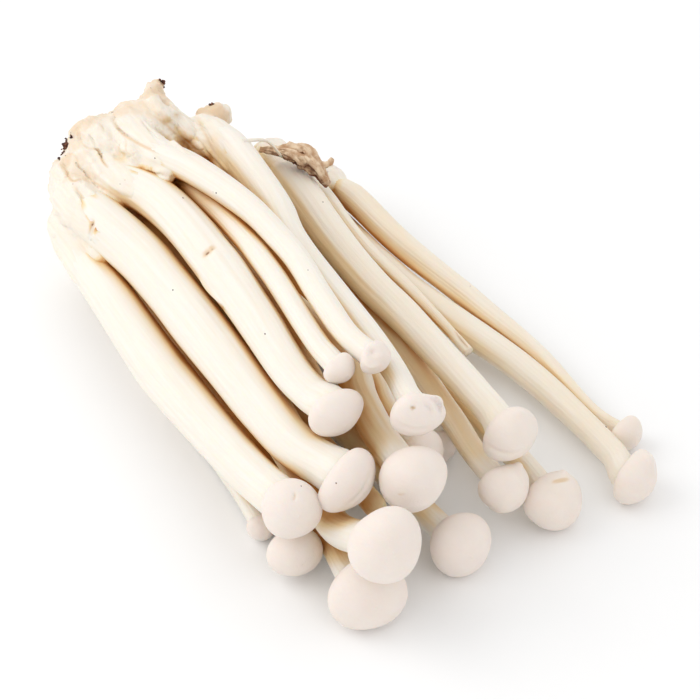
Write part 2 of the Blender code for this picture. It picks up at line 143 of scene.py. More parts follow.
MUSHROOMS = (
    Mushroom(
        "mushroom_01",
        (
            (-80, -40, 21), (-67, -42, 19.5), (-52, -43, 19), (-24, -44, 18), (-6, -44, 18),
            (27, -43.5, 21), (47, -42, 25),
        ),
        (5.4, 6.5, 5.5), 14.2, (0.85, -0.15, 0.45), 22.0,
    ),
    Mushroom(
        "mushroom_02",
        ((-79, -36, 9), (-45, -39, 4.5), (0, -40, 4), (20, -41, 4), (31, -41.5, 4.3)),
        (2.8, 3.0, 2.2), 7.0, (0.9, -0.3, 0.1),
    ),
    Mushroom(
        "mushroom_03",
        ((-82, -30, 9), (-40, -31, 8), (0, -32, 7), (25, -35, 6.5), (44, -38, 6.3)),
        (4.0, 4.2, 3.4), 13.0, (0.95, -0.2, 0.15),
    ),
    Mushroom(
        "mushroom_04",
        (
            (-80, -38, 29), (-63, -37, 28), (-43, -34, 27), (-7, -34, 27), (26, -34, 27), (38, -32, 27.5),
            (48, -29, 28),
        ),
        (6.0, 6.0, 5.0), 15.5, (1.0, 0.3, -0.1), 18.0, 0.85,
    ),
    Mushroom(
        "mushroom_05",
        ((-82, -14, 24), (-40, -11, 24), (5, -6, 24), (23, -10, 24), (38, -13, 25), (55, -15, 28)),
        (4.2, 4.2, 4.2), 16.0, (0.9, -0.1, 0.35),
    ),
    Mushroom(
        "mushroom_06",
        ((-80, -3, 25), (-40, -2, 24), (10, 0, 20), (25, -3, 19), (40, -3, 18)),
        (4.2, 4.2, 3.6), 11.0, (1.0, 0.1, 0.1),
    ),
    Mushroom(
        "mushroom_07",
        ((-82, -26, 18), (-40, -27, 17), (0, -28, 16), (37, -31, 15), (51, -32, 15.5), (68, -30, 25)),
        (4.0, 4.2, 4.0), 17.3, (0.8, -0.2, 0.5),
    ),
    Mushroom(
        "mushroom_08",
        ((-80, -21, 8), (-30, -22, 6), (20, -26, 6), (42, -31, 6), (53.5, -32.7, 7), (63.7, -32.2, 8.4)),
        (3.8, 4.0, 3.5), 18.4, (0.9, -0.2, 0.25), dome=0.8,
    ),
    Mushroom(
        "mushroom_09",
        ((-80, -12, 8), (-30, -12, 7), (20, -9, 6), (49, -7, 6.5), (62, -5.9, 7.5)),
        (3.8, 3.8, 3.2), 15.6, (0.9, -0.1, 0.25),
    ),
    Mushroom(
        "mushroom_10",
        (
            (-83, -31, 32), (-70, -28, 34), (-61, -24, 35), (-45, -22, 36), (-29, -22, 36), (-3, -24, 36),
            (19, -26, 36.5), (35.5, -24, 38.2),
        ),
        (5.6, 5.9, 4.4), 13.0, (1.0, 0.0, -0.1), 18.0, 0.9,
    ),
    Mushroom(
        "mushroom_11",
        (
            (-68, -14, 34), (-51, -14, 37), (-33, -14, 39), (-12, -15, 40.5), (11, -18, 41.5),
            (29, -20, 42.5),
        ),
        (2.6, 3.0, 2.8), 7.8, (1.0, 0.1, 0.0), 10.0,
    ),
    Mushroom(
        "mushroom_12",
        (
            (-86, -20, 39), (-68, -18, 41.5), (-55, -14, 43), (-32, -10, 44), (-12, -9, 44), (5, -11, 44),
            (22, -13, 45), (32, -12, 46),
        ),
        (4.2, 3.3, 3.0), 8.4, (1.0, 0.3, 0.1), 20.0,
    ),
    Mushroom(
        "mushroom_13",
        (
            (-82, 0, 33), (-69, 2, 36), (-56, 1, 37.5), (-37, -1, 38), (-20, -4, 38), (26, -6, 39),
            (48, -10, 40),
        ),
        (4.8, 3.7, 2.9), 12.4, (0.85, -0.3, -0.05), 20.0, 0.75,
    ),
    Mushroom(
        "mushroom_14",
        (
            (-80, 20, 19), (-61, 19, 21), (-39, 16, 21.5), (-16, 15, 22), (4, 16, 22), (37, 15, 24),
            (51, 14, 25),
        ),
        (5.3, 4.5, 3.8), 14.2, (1.0, 0.1, 0.0), 6.0,
    ),
    Mushroom(
        "mushroom_15",
        ((-78, 10, 12), (-40, 14, 13), (-4, 14.5, 13), (28, 12, 13), (42, 10.5, 12.5), (56, 10, 13)),
        (3.8, 3.8, 3.0), 13.0, (0.95, -0.1, 0.1), 6.0,
    ),
    Mushroom(
        "mushroom_16",
        ((-75, 21, 8), (-40, 22, 7), (11, 21, 6), (44, 22, 6.5), (61, 21, 7.4)),
        (3.8, 3.8, 3.2), 15.0, (0.95, -0.1, 0.2), 6.0,
    ),
    Mushroom(
        "mushroom_17",
        (
            (-74, 29, 9), (-43, 27, 9), (-30, 29, 8.5), (-7, 34, 8), (17, 41, 7), (45, 43.2, 6.5),
            (63.3, 42.8, 6.5),
        ),
        (3.8, 4.0, 3.3), 13.4, (1.0, 0.45, 0.0), 6.0,
    ),
    Mushroom(
        "mushroom_18",
        (
            (-70, 32, 12), (-61, 33, 13), (-31, 37, 12), (-7, 42, 10), (15, 46, 8), (37, 48, 5.5),
            (48, 51, 4.5),
        ),
        (3.8, 3.1, 1.8), 9.6, (1.0, 0.2, 0.0), 3.0,
    ),
    Mushroom(
        "mushroom_19",
        ((-78, 2, 9), (-40, 3, 7), (5, 6, 4.5), (29, 9, 4.5)),
        (3.6, 3.6, 3.0), 9.0, (1.0, 0.0, 0.0),
    ),
    Mushroom(
        "torn_stem",
        ((-72, 26, 18), (-56, 26, 17), (-35, 25, 16), (-11, 27, 15), (10, 29, 12)),
        (2.0, 2.0, 1.3), skin=5.0,
    ),
    Mushroom(
        "withered_pin",
        ((-71, 13.5, 29), (-66, 17.5, 30), (-62, 21, 29.5), (-58, 23.5, 26.5), (-56, 25.5, 22.5)),
        (1.3, 3.2, 1.5), skin=0.0,
    ),
)

# The clump's lobes, which fill in between the roots: centre and half sizes.
CLUMP_LOBES = (
    ((-82, -31, 26), (11, 12, 13)),
    ((-86, -26, 32), (11, 11, 10.5)),
    ((-85, -15, 31.8), (11, 13, 13)),
    ((-80.5, -23.5, 10), (10.5, 16, 11.5)),
    ((-79, 1, 11), (10, 14, 12)),
    ((-79, 4, 22), (9, 10, 11)),
    ((-74, 22, 10), (7, 12, 11)),
    ((-84, 6.3, 34.3), (3.5, 4.5, 3.8)),
)

# The horn of cut root that stands up at the back of the clump: its route and radii.
HORN_ROUTE = ((-84, -9, 37.5), (-90.5, -8.5, 42), (-92.7, -4.5, 45.5))
HORN_RADII = (6.0, 3.3, 0.9)

# How far the surfaces stay inside the sides of the CAD model's box.
BOX_EASE = 0.02

# How shut in a place is, which sets the painted shade in the gaps, from rays: their number, start and length,
# the rings and sides from one measured place of a mushroom to the next, and on other pieces the vertices to
# each measured one.
CLEAR_RAYS = 32
CLEAR_START = 0.4
CLEAR_REACH = 30.0
RING_STEP = 6
SIDE_STEP = 4
FREE_STEP = 12
FREE_SEED = 3

# The clump's skin: how far it stands off a root at its start, halfway and at its end, how it starts behind
# the root, how much further than Mushroom.skin it runs, and how it is fused.
STUB_WALLS = (0.8, 0.6, -0.9)
STUB_TAIL = 3.0
STUB_START = (0.45, 0.8)
STUB_REACH = (1.5, 6.0)
STUB_THINNING = 3
CLUMP_VOXEL = 0.56
CLUMP_SMOOTHINGS = 9

# How far each cap is from round: an oval's and a rounded triangle's share, and the degrees that they
# point from the top of the picture.
CAP_FORMS = {
    "mushroom_01": ((0.02, 45), (0.02, 20)),
    "mushroom_03": ((0.05, 100), (0.02, 0)),
    "mushroom_04": ((0.09, 150), (0.03, 30)),
    "mushroom_05": ((0.03, 120), (0.03, 60)),
    "mushroom_06": ((0.03, 30), (0.03, 0)),
    "mushroom_07": ((0.04, 150), (0.03, 90)),
    "mushroom_08": ((0.03, 95), (0.03, 10)),
    "mushroom_09": ((0.03, 0), (0.035, 70)),
    "mushroom_10": ((0.07, 130), (0.03, 60)),
    "mushroom_11": ((0.06, 120), (0.05, 0)),
    "mushroom_12": ((0.05, 100), (0.05, 40)),
    "mushroom_13": ((0.05, 90), (0.05, 30)),
    "mushroom_14": ((0.03, 120), (0.04, 50)),
    "mushroom_15": ((0.03, 60), (0.05, 80)),
    "mushroom_16": ((0.03, 45), (0.04, 100)),
    "mushroom_17": ((0.06, 160), (0.05, 90)),
    "mushroom_18": ((0.04, 120), (0.03, 0)),
}

# Creases that the photograph shows on the clump: pixels, half width and depth in millimetres, and how dark
# their painted shade is.
# A depth below zero raises a fold.
CLUMP_CREASES = (
    (((72, 184), (80, 194), (88, 205), (100, 213), (112, 217), (122, 216)), 0.55, 1.43, 0.8),
    (((83, 174), (92, 181), (105, 189), (118, 197), (128, 201)), 0.5, 1.17, 0.73),
    (((92, 148), (99, 151), (102, 160), (108, 168)), 0.4, 1.17, 1.1),
    (((78, 131), (81, 141), (86, 147), (96, 150)), 0.45, 1.17, 0.52),
    (((112, 112), (115, 125), (123, 134), (134, 141), (150, 149), (168, 155)), 0.5, 1.43, 0.8),
    (((124, 134), (127, 145), (130, 153), (136, 157)), 0.4, 1.04, 0.45),
    (((141, 107), (152, 115), (163, 122), (176, 134), (190, 145), (203, 158)), 0.5, 1.56, 0.66),
    (((145, 101), (158, 111), (172, 121), (188, 136), (204, 151), (222, 168)), 0.5, 1.3, 0.52),
    (((143, 122), (150, 130), (158, 139), (163, 144)), 0.4, 1.04, 0.52),
    (((178, 146), (188, 152), (197, 158), (206, 165), (216, 171)), 0.45, 1.43, 1.08),
    (((190, 112), (203, 130), (212, 147), (221, 165), (232, 178), (243, 184)), 0.6, 1.43, 0.59),
    (((160, 98), (172, 107), (186, 117), (197, 121)), 0.5, 1.17, 0.38),
    (((60, 160), (66, 172), (73, 181), (84, 178)), 0.5, 1.17, 0.94),
    (((88, 130), (93, 140), (97, 150)), 0.4, 0.65, 0.24),
    (((127, 166), (142, 170), (165, 175), (183, 182), (200, 182)), 0.6, 0.91, 0.31),
    (((98, 118), (103, 130), (112, 143), (124, 160)), 0.7, 0.65, 0.17),
    (((150, 120), (166, 136), (184, 152), (196, 168)), 0.6, 0.78, 0.24),
    (((166, 112), (180, 124), (196, 142), (210, 160)), 0.5, 0.91, 0.24),
    (((68, 150), (76, 158), (80, 168), (90, 174)), 0.5, 0.91, 0.59),
    (((100, 124), (104, 132)), 0.3, 0.52, 0.66),
    (((84, 205), (96, 222), (112, 232), (124, 236)), 0.9, 0.78, 0.17),
    (((94, 221), (92, 228), (90, 235)), 0.6, 1.04, 1.1),
    (((89, 238), (92, 243), (91, 248)), 0.25, 0.52, 1.08),
    (((148, 98), (160, 112), (175, 125), (192, 139), (208, 154), (224, 171)), 1, -1, 0),
    (((146, 115), (158, 128), (172, 142), (190, 156), (208, 164)), 0.9, -0.8, 0),
    (((96, 122), (108, 138), (120, 146), (138, 153), (156, 160)), 1.1, -0.8, 0),
    (((80, 150), (90, 160), (102, 176), (118, 188), (132, 194)), 1, -0.8, 0),
    (((76, 178), (88, 190), (102, 202), (118, 208)), 0.9, -0.6, 0),
    (((176, 112), (190, 126), (206, 146), (220, 162), (236, 180)), 0.8, -0.6, 0),
)

# Nicks, dents, cracks and bumps on single mushrooms, in the same form. How dark a mark is gives partly the
# brown of a nick or crack and partly painted shade in a dent, hole or rim line.
PIECE_MARKS = {
    "mushroom_01": (
        (((293, 492), (295, 496), (293, 501)), 0.35, 0.4, 0.4),
        (((262, 512), (266, 530), (280, 540)), 0.9, 0.35, 0.0),
    ),
    "mushroom_04": (
        (((94, 221), (92, 228), (90, 235)), 0.55, 0.8, 1.1),
        (((372, 470), (362, 492), (345, 508)), 0.8, 0.4, 0.05),
    ),
    "mushroom_05": (
        (((398, 494), (401, 495), (404, 494)), 0.25, 0.3, 0.5),
        (((381, 490), (400, 505), (430, 505)), 1.0, -0.4, 0.0),
    ),
    "mushroom_10": (
        (((204, 255), (207, 252), (210, 251)), 0.9, 0.6, 1.0),
        (((210, 249), (213, 247)), 0.85, 0.5, 1.0),
        (((200, 278), (208, 288), (216, 297), (222, 304)), 0.7, -0.8, 0.05),
        (((213, 300), (218, 306), (224, 309)), 0.4, 0.8, 0.6),
    ),
    "mushroom_12": (
        (((370, 350), (373, 352), (376, 353)), 1.3, 1.3, 0.12),
        (((364, 362), (371, 367), (380, 364)), 0.6, -0.4, 0.0),
    ),
    "mushroom_13": (
        (((411, 408), (413, 408), (415, 408)), 0.3, 1.2, 1.0),
        (((430, 402), (437, 401), (440, 408)), 1.3, -1.2, 0.0),
        (((426, 404), (431, 408), (433, 414)), 0.7, 0.8, 0.1),
        (((400, 425), (415, 430), (432, 428)), 0.7, 0.4, 0.05),
    ),
    "mushroom_14": (
        (((488, 446), (498, 452), (510, 454), (519, 452)), 0.7, 0.5, 0.15),
        (((516, 412), (522, 414)), 1.2, -0.7, 0.0),
    ),
    "mushroom_15": (
        (((518, 466), (521, 465)), 1.0, -0.9, 0.0),
        (((508, 468), (520, 480), (526, 492)), 0.9, -0.3, 0.0),
    ),
    "mushroom_16": (
        (((552, 482), (558, 481), (564, 480), (569, 479)), 0.5, 1.1, 0.9),
        (((560, 475), (566, 472), (572, 475)), 1.1, -0.8, 0.0),
    ),
    "mushroom_17": (
        (((634, 450), (640, 449)), 1.2, -0.8, 0.0),
        (((648, 456), (652, 464)), 1.2, -0.5, 0.0),
    ),
    "mushroom_18": (
        (((608, 424), (612, 420)), 0.8, 0.4, 0.1),
    ),
    "torn_stem": (
        (((455, 330), (462, 340), (468, 348)), 0.6, 0.5, 0.7),
    ),
}

# Small lobes that show as knobs or fill out the skin: a pixel on them, half sizes, and how far they sit in.
KNOBS = (
    ((214, 114), (3.6, 3.6, 2.9), 2.2),
    ((205, 113), (2.6, 2.6, 2.4), 2.2),
    ((223, 118), (2.3, 2.3, 1.8), 2.8),
    ((119, 153), (3.6, 3.0, 2.8), 2.4),
    ((136, 150), (5.0, 3.2, 3.0), 2.2),
    ((150, 160), (5.0, 3.0, 2.8), 2.4),
    ((163, 168), (5.0, 2.6, 2.4), 2.6),
    ((116, 206), (4.5, 2.6, 2.6), 2.6),
    ((98, 250), (4.5, 2.4, 2.4), 2.6),
    ((180, 125), (6.0, 3.2, 3.0), 2.2),
    ((196, 141), (7.0, 3.0, 2.8), 2.4),
    ((212, 157), (7.0, 2.8, 2.6), 2.6),
    ((226, 171), (6.0, 2.2, 2.2), 2.6),
)

# The pale flap before the horn: pixels at its root, how far its tip is from the horn's to the picture's
# right and top, and its radii.
FLAP_ROUTE = ((166, 120), (157, 108))
FLAP_PLACE = (-3.6, -2.4)
FLAP_RADII = (2.2, 1.7, 1.3)

# Stems that bulge towards the picture's upper right: how much wider they are, and how far they move.
BULGES = {"mushroom_04": (1.14, 0.9), "mushroom_01": (1.03, 0.2), "mushroom_13": (1.08, 0.4)}
BULGE_SIDE = (0.757, 0.654)
BULGE_FORM = 0.7

# Painted shade: how far each stem on the right of the picture is tinted a warm grey-tan, as though the light
# fell off away from the left.
RIGHT_STEMS_PAINTED_SHADE = {
    "mushroom_14": 0.4, "mushroom_15": 0.3, "mushroom_16": 0.35, "mushroom_17": 0.5, "mushroom_18": 0.6,
    "torn_stem": 0.6,
}

# Where the clump is dried to tan or brown: pixel, radius in millimetres, and how far it has dried.
STAINS = (
    ((60, 150), 5.0, 0.75), ((66, 138), 4.0, 0.7), ((75, 128), 4.5, 0.5), ((88, 120), 5.0, 0.42),
    ((105, 112), 6.0, 0.42), ((122, 108), 6.0, 0.42), ((138, 108), 5.0, 0.36), ((66, 160), 3.5, 0.5),
    ((78, 160), 4.0, 0.32), ((84, 176), 4.0, 0.36), ((70, 175), 3.0, 0.4), ((74, 142), 4.5, 0.36),
    ((152, 92), 3.5, 0.5), ((158, 90), 3.5, 0.55), ((162, 82), 2.2, 0.95), ((164, 97), 3.5, 0.42),
    ((152, 110), 4.0, 0.28), ((205, 110), 4.0, 0.68), ((215, 110), 4.5, 0.7), ((224, 116), 4.0, 0.66),
    ((199, 113), 3.0, 0.7), ((190, 117), 3.0, 0.3), ((95, 222), 4.0, 0.15), ((93, 225), 1.1, 1.0),
    ((86, 215), 5.0, 0.14), ((252, 142), 2.5, 0.4),
)

# Dark crumbs on the clump, pixel and size, then specks on any piece, and crumbs strewn from behind over the
# clump's back: how many, their sizes, where they come from, and how many lumps a large crumb has.
CRUMB_PLACES = (
    ((60, 147), 1.1), ((64, 143), 1.0), ((67, 141), 0.8), ((62, 151), 0.9), ((66, 147), 0.9),
    ((60, 159), 0.6), ((64, 152), 0.7), ((71, 137), 0.5), ((71, 133), 0.35), ((162, 82), 0.8),
    ((164, 85), 0.6), ((160, 81), 0.5), ((151, 88), 0.4), ((76, 163), 0.3), ((80, 178), 0.25),
    ((212, 105), 0.6), ((197, 112), 0.35), ((146, 102), 0.3), ((71, 150), 0.3), ((104, 110), 0.25),
)
SPECK_PLACES = (
    (120, 184), (118, 185), (125, 180), (183, 198), (257, 198), (259, 197), (323, 202), (411, 232),
    (470, 286), (308, 270), (173, 290), (265, 334), (336, 483), (404, 447), (73, 184), (313, 180),
    (355, 512), (301, 486), (312, 485), (91, 240), (606, 427), (213, 192), (155, 158), (216, 193),
)
SPECK_SIZE = 0.32
BACK_CRUMBS = 45
BACK_SIZES = (0.25, 0.8)
BACK_FROM = -140.0
BACK_ACROSS = (-44, 22)
BACK_HEIGHTS = (4, 42)
BACK_REACH = 60.0
CRUMB_LUMPS = 9
LUMPY_SIZE = 0.45

# How many places a mark is carved at for each of its pixels, and how close to them faces are split.
MARK_STEPS = 12
REFINE_REACH = 1.0

# Undeveloped pins hidden low among the stems, which fill gaps there: routes and radii.
INNER_PINS = (
    (
        (
            (-62, -25, 24.5), (-46, -25.5, 24.2), (-20, -24.8, 23.6),
            (0, -25, 23), (23, -26.8, 22.3), (31, -27, 22),
        ),
        (2.6, 2.3, 1.4),
    ),
    (
        ((-40, -15.5, 30), (-10, -15.6, 29.6), (3, -15.8, 29.2), (11, -17, 28), (19, -17.5, 27.5)),
        (3.0, 2.8, 1.5),
    ),
    (
        ((-30, -20, 13), (10, -20.5, 12.6), (30, -19.5, 12), (43, -18.9, 11.5), (49, -19, 11.8)),
        (2.2, 3.0, 2.8),
    ),
)

# The dried scrap: its hollows as in PIECE_MARKS, its widths along it, its folds by depth, how many run
# round it and how they drift, how crumpled it is, and its curled tip by pixels at its root and steps from it.
SCRAP_MARKS = (
    (((277, 150), (284, 155), (290, 160), (296, 166)), 1.0, 1.3, 1.0),
    (((297, 145), (303, 152), (306, 162), (312, 172)), 0.6, 0.8, 0.5),
    (((306, 160), (314, 172), (320, 184)), 0.5, 0.7, 0.5),
    (((296, 143), (304, 141), (312, 144)), 0.5, 0.3, 0.7),
)
SCRAP_WIDTHS = ((0, 0.12, 0.25, 0.38, 0.55, 0.72, 0.88, 1), (0.5, 0.9, 1.1, 2.1, 2.5, 1.8, 1.1, 0.5))
SCRAP_FOLDS = ((0.3, 3, 5), (0.18, 7, -11))
SCRAP_CRUMPLE = 0.5
SCRAP_GRAIN = 0.07
CURL_START = ((313, 163), (322, 168))
CURL_LIFT = 0.8
CURL_STEPS = ((1.9, 0.5), (2.8, 1.8))
CURL_RADII = ((0, 0.6, 1), (1.3, 0.8, 0.4))

# The thread: pixels at its ends, how far its middle is from them to the picture's right and top, and radii.
THREAD_ENDS = ((243, 141), (282, 157))
THREAD_ARCH = (0.9, 2.2)
THREAD_RADII = ((0, 0.5, 1), (0.6, 0.4, 0.35))

# The light: the key's place from the camera's aim to its right, up and forward, in metres, its width and
# power, and how bright the room and the floor are.
KEY_PLACE = (-0.4875, 0.39, -0.2925)
KEY_SIZE = 0.6
KEY_POWER = 1.3
ROOM_LIGHT = 0.95
FLOOR_SHADE = 0.95
FLOOR_HALF = 3.0


def unit(vector):
    return np.array(vector, float) / np.linalg.norm(vector)


def smoothstep(low, high, value):
    x = np.clip((np.asarray(value) - low) / (high - low), 0, 1)
    return x * x * (3 - 2 * x)


def spline(route, count):
    """That many points, evenly spaced along a smooth curve through the route's own points."""
    before = 2 * np.array(route[0]) - route[1]
    beyond = 2 * np.array(route[-1]) - route[-2]
    knots = np.array([before, *route, beyond], float)
    fine = []
    for a, b, c, d in zip(knots, knots[1:], knots[2:], knots[3:]):
        for t in np.linspace(0, 1, SPLINE_STEPS, endpoint=False):
            bend = (2 * a - 5 * b + 4 * c - d) * t**2 + (3 * b - a - 3 * c + d) * t**3
            fine.append(0.5 * (2 * b + (c - a) * t + bend))
    fine = np.array([*fine, knots[-2]])
    along = np.concatenate([[0], np.cumsum(np.linalg.norm(np.diff(fine, axis=0), axis=1))])
    wanted = np.linspace(0, along[-1], count)
    return np.stack([np.interp(wanted, along, fine[:, k]) for k in range(fine.shape[1])], axis=1)


def stem_radius(mushroom, t):
    """The stem's radius at t, from 0 at the root to 1 at the cap, where its neck flares."""
    low, middle, neck = mushroom.radii
    widest = WIDEST_NECK * mushroom.cap if mushroom.cap else neck
    full = np.interp(t, RADIUS_PLACES, (low, low, middle, min(neck, widest), min(neck, widest)))
    full = full * np.interp(t, (0, ROOT_SHARE), (ROOT_NARROWING, 1))
    if not mushroom.cap:
        return full
    flare = 1 + NECK_FLARE * np.clip((t - FLARE_START) / (1 - FLARE_START), 0, 1) ** 2
    return np.where(t > FLARE_START, np.minimum(full * flare, widest), full)


def cap_balls(mushroom):
    """Balls that fill the cap, for keeping it clear: offset from its centre, and radius."""
    axis = unit(mushroom.axis)
    side = unit(np.cross(axis, (0, 0, 1)))
    up = np.cross(side, axis)
    balls = [(axis * CORE_HEIGHT * mushroom.cap, CORE_RADIUS * mushroom.cap)]
    for k in range(RING_BALLS):
        turn = k * math.tau / RING_BALLS
        outwards = side * math.cos(turn) + up * math.sin(turn)
        for reach, height in RING_BALL_PLACES:
            away = (outwards * reach + axis * height) * mushroom.cap
            balls.append((away, RING_BALL_RADIUS * mushroom.cap))
    return balls


def settle(mushrooms):
    """Every stem's sample points, moved apart until the mushrooms are clear and lie on the surface."""
    t = np.linspace(0, 1, STEM_SAMPLES)
    lines = np.array([spline(m.route, STEM_SAMPLES) for m in mushrooms])
    owner, sample, offset, radius = [], [], [], []
    for i, m in enumerate(mushrooms):
        balls = [(k, (0, 0, 0), stem_radius(m, t[k])) for k in range(STEM_SAMPLES)]
        if m.cap:
            balls += [(STEM_SAMPLES - 1, away, size) for away, size in cap_balls(m)]
        for k, away, size in balls:
            owner.append(i)
            sample.append(k)
            offset.append(away)
            radius.append(size)
    owner, sample = np.array(owner), np.array(sample)
    offset, radius = np.array(offset, float), np.array(radius)
    reach = radius[:, None] + radius[None, :] + STEM_GAP
    reach[owner[:, None] == owner[None, :]] = 0
    slant = unit(GIVING_WAY)
    for _ in range(SETTLING_ROUNDS):
        balls = lines[owner, sample] + offset
        apart = balls[:, None, :] - balls[None, :, :]
        distance = np.linalg.norm(apart, axis=2) + 1e-9
        push = np.clip(reach - distance, 0, None)
        move = (apart / distance[:, :, None] * push[:, :, None]).sum(axis=1) * SETTLING_SHARE
        along = (move @ slant)[:, None] * slant
        move = along + SIDEWAYS * (move - along)
        sunk = np.clip(radius - REST_DEPTH - balls[:, 2], 0, None)
        move += sunk[:, None] * slant / slant[2]
        moves = np.zeros_like(lines)
        np.add.at(moves, (owner, sample), move)
        for _ in range(SETTLING_SMOOTHINGS):
            padded = np.concatenate([moves[:, :1], moves, moves[:, -1:]], axis=1)
            moves = 0.25 * padded[:, :-2] + 0.5 * padded[:, 1:-1] + 0.25 * padded[:, 2:]
        lines = lines + moves
    return lines


class View:
    """The photograph's camera: where it stands, and the ray through each pixel."""

    def __init__(self):
        flat = np.array([-math.sin(CAMERA_TURN), math.cos(CAMERA_TURN), 0])
        self.right = np.array([math.cos(CAMERA_TURN), math.sin(CAMERA_TURN), 0])
        self.forward = flat * math.cos(CAMERA_DROP) + np.array([0, 0, -math.sin(CAMERA_DROP)])
        self.up = np.cross(self.right, self.forward)
        self.place = CAMERA_AIM - self.forward * CAMERA_DISTANCE

    def ray(self, pixel):
        across, down = (np.array(pixel) / IMAGE_SIZE - 0.5) * SENSOR / LENS
        return unit(self.forward + self.right * across - self.up * down)

    def onto(self, tree, pixel):
        """The point and normal where a pixel's ray meets the surfaces in a tree, or nothing."""
        place, normal, _, _ = tree.ray_cast(Vector(self.place), Vector(self.ray(pixel)))
        return None if place is None else (np.array(place), np.array(normal))


def frames_along(points):
    """Two directions across a route at each of its points, which turn as little as they can along it."""
    tangents = np.gradient(points, axis=0)
    tangents /= np.linalg.norm(tangents, axis=1)[:, None]
    across = [unit(np.cross(tangents[0], (0, 1, 0)))]
    for tangent in tangents[1:]:
        across.append(unit(across[-1] - tangent * (across[-1] @ tangent)))
    across = np.array(across)
    return across, np.cross(tangents, across)


def tube_rings(points, turn, wide):
    """Rings round a route, as wide as given for each ring or for each of its points, and the direction in
    which the last ring starts."""
    across, other = frames_along(points)
    ring = across[:, None, :] * np.cos(turn)[:, :, None] + other[:, None, :] * np.sin(turn)[:, :, None]
    return points[:, None, :] + ring * wide[:, :, None], across[-1]


def ripple(turn, along, seed, relief):
    """Smooth random relief round and along a stem: waves that drift as they run."""
    height, number, counts, pitch = relief
    random = np.random.default_rng(seed + number)
    total = np.zeros(np.broadcast(turn, along).shape)
    for count in counts:
        phase, second, drift = random.uniform(0, math.tau, 3)
        sway = np.sin(along / pitch * random.uniform(0.6, 1.4) + second)
        fade = 0.6 + 0.4 * np.sin(along / pitch * random.uniform(0.5, 1.2) + drift)
        total += np.cos(count * turn + phase + 1.2 * sway) * fade
    return height * total / math.sqrt(len(counts))


def stem_rings(mushroom, line, turn, seed, view):
    """The stem's rings of points from its root to its neck, and their unrolled places."""
    wider, shift = BULGES.get(mushroom.name, (1.0, 0.0))
    bulge = np.sin(np.linspace(0, math.pi, len(line))) ** BULGE_FORM
    line = line + (view.right * BULGE_SIDE[0] + view.up * BULGE_SIDE[1]) * (shift * bulge)[:, None]
    route = list(line)
    if mushroom.cap:
        axis = unit(mushroom.axis)
        clear = np.linalg.norm(line - line[-1], axis=1) > 0.5 * mushroom.cap
        route = [*line[clear], line[-1] - axis * 0.2 * mushroom.cap, line[-1] - axis * 0.05 * mushroom.cap]
    points = spline(route, STEM_RINGS)
    place = np.concatenate([[0], np.cumsum(np.linalg.norm(np.diff(points, axis=0), axis=1))])[:, None]
    radii = stem_radius(mushroom, place / place[-1])
    radii = radii * (1 + (wider - 1) * np.sin(math.pi * place / place[-1]) ** BULGE_FORM)
    oval, grooves, swells, fibres = (
        ripple(turn, place, seed, relief) for relief in (STEM_OVAL, STEM_GROOVES, STEM_SWELLS, STEM_FIBRES)
    )
    wide = radii * (1 + oval + grooves) + fibres + swells
    rings, across = tube_rings(points, turn, wide)
    unrolled = np.stack([wide * np.cos(turn), wide * np.sin(turn), place + 0 * wide], axis=2)
    return rings, unrolled, across


def cap_rings(mushroom, centre, across, neck, turn, seed, up):
    """The cap's rings of points from its gills, over the rim, to its top, and their unrolled places."""
    axis, size = unit(mushroom.axis), mushroom.cap
    first = unit(across - axis * (across @ axis))
    second = np.cross(axis, first)
    share = np.linspace(0, 1, GILL_RINGS + 1)[1:-1]
    inner, depth = CAP_OUTLINE[0]
    neck_share = neck / size
    rise = GILL_START + (depth - GILL_START) * share**1.5
    under = np.stack([neck_share + (inner - neck_share) * share, rise], axis=1)
    rim = spline([(r, z * (mushroom.dome if z > 0 else 1)) for r, z in CAP_OUTLINE], CAP_RINGS)
    outline = np.concatenate([under, rim])
    gill = np.concatenate([np.sin(math.pi * share) ** 0.7, np.zeros(len(rim))])[:, None]
    loose = smoothstep(0.25, 0.5, outline[:, 0])[:, None]
    lean = turn - math.atan2(second @ up, first @ up)
    oval, corner = CAP_FORMS.get(mushroom.name, ((0.04, 40), (0.02, 90)))
    wave = oval[0] * np.cos(2 * (lean - math.radians(oval[1])))
    wave = wave + corner[0] * np.cos(3 * (lean - math.radians(corner[1])))
    wave = wave + ripple(turn, 0, seed, RIM_WAVES)
    radius = outline[:, :1] * size * (1 + wave * loose)
    height = outline[:, 1:] * size + GILL_HEIGHT * size * gill * np.cos(GILLS * turn)
    height = height + size * ripple(turn, 0, seed, RIM_BENDS) * loose
    spread = first * np.cos(turn)[:, :, None] + second * np.sin(turn)[:, :, None]
    points = centre + spread * radius[:, :, None] + axis * height[:, :, None]
    unrolled = np.stack([radius * np.cos(turn), radius * np.sin(turn), height + 0 * radius], axis=2)
    return points, unrolled


def mesh_object(name, points, faces):
    """A mesh object from points in the bunch's millimetres."""
    mesh = bpy.data.meshes.new(name)
    mesh.from_pydata(((np.asarray(points) - ORIGIN) * MM).tolist(), [], faces)
    mesh.shade_smooth()
    obj = bpy.data.objects.new(name, mesh)
    bpy.context.scene.collection.objects.link(obj)
    return obj


def ring_faces(count, sides):
    """The faces of a closed surface of rings, whose last two points are the middles of its ends."""
    k = np.arange((count - 1) * sides)
    after = np.where(k % sides == sides - 1, k - sides + 1, k + 1)
    quads = np.stack([k, after, after + sides, k + sides], axis=1).tolist()
    start, end, last = count * sides, count * sides + 1, (count - 1) * sides
    fans = [(start, (j + 1) % sides, j) for j in range(sides)]
    fans += [(end, last + j, last + (j + 1) % sides) for j in range(sides)]
    return quads + fans


def with_ends(rings):
    """Rings of values as one list, with the middle of each end after them."""
    middles = [rings[0].mean(axis=0), rings[-1].mean(axis=0)]
    return np.concatenate([rings.reshape(-1, rings.shape[2]), middles])


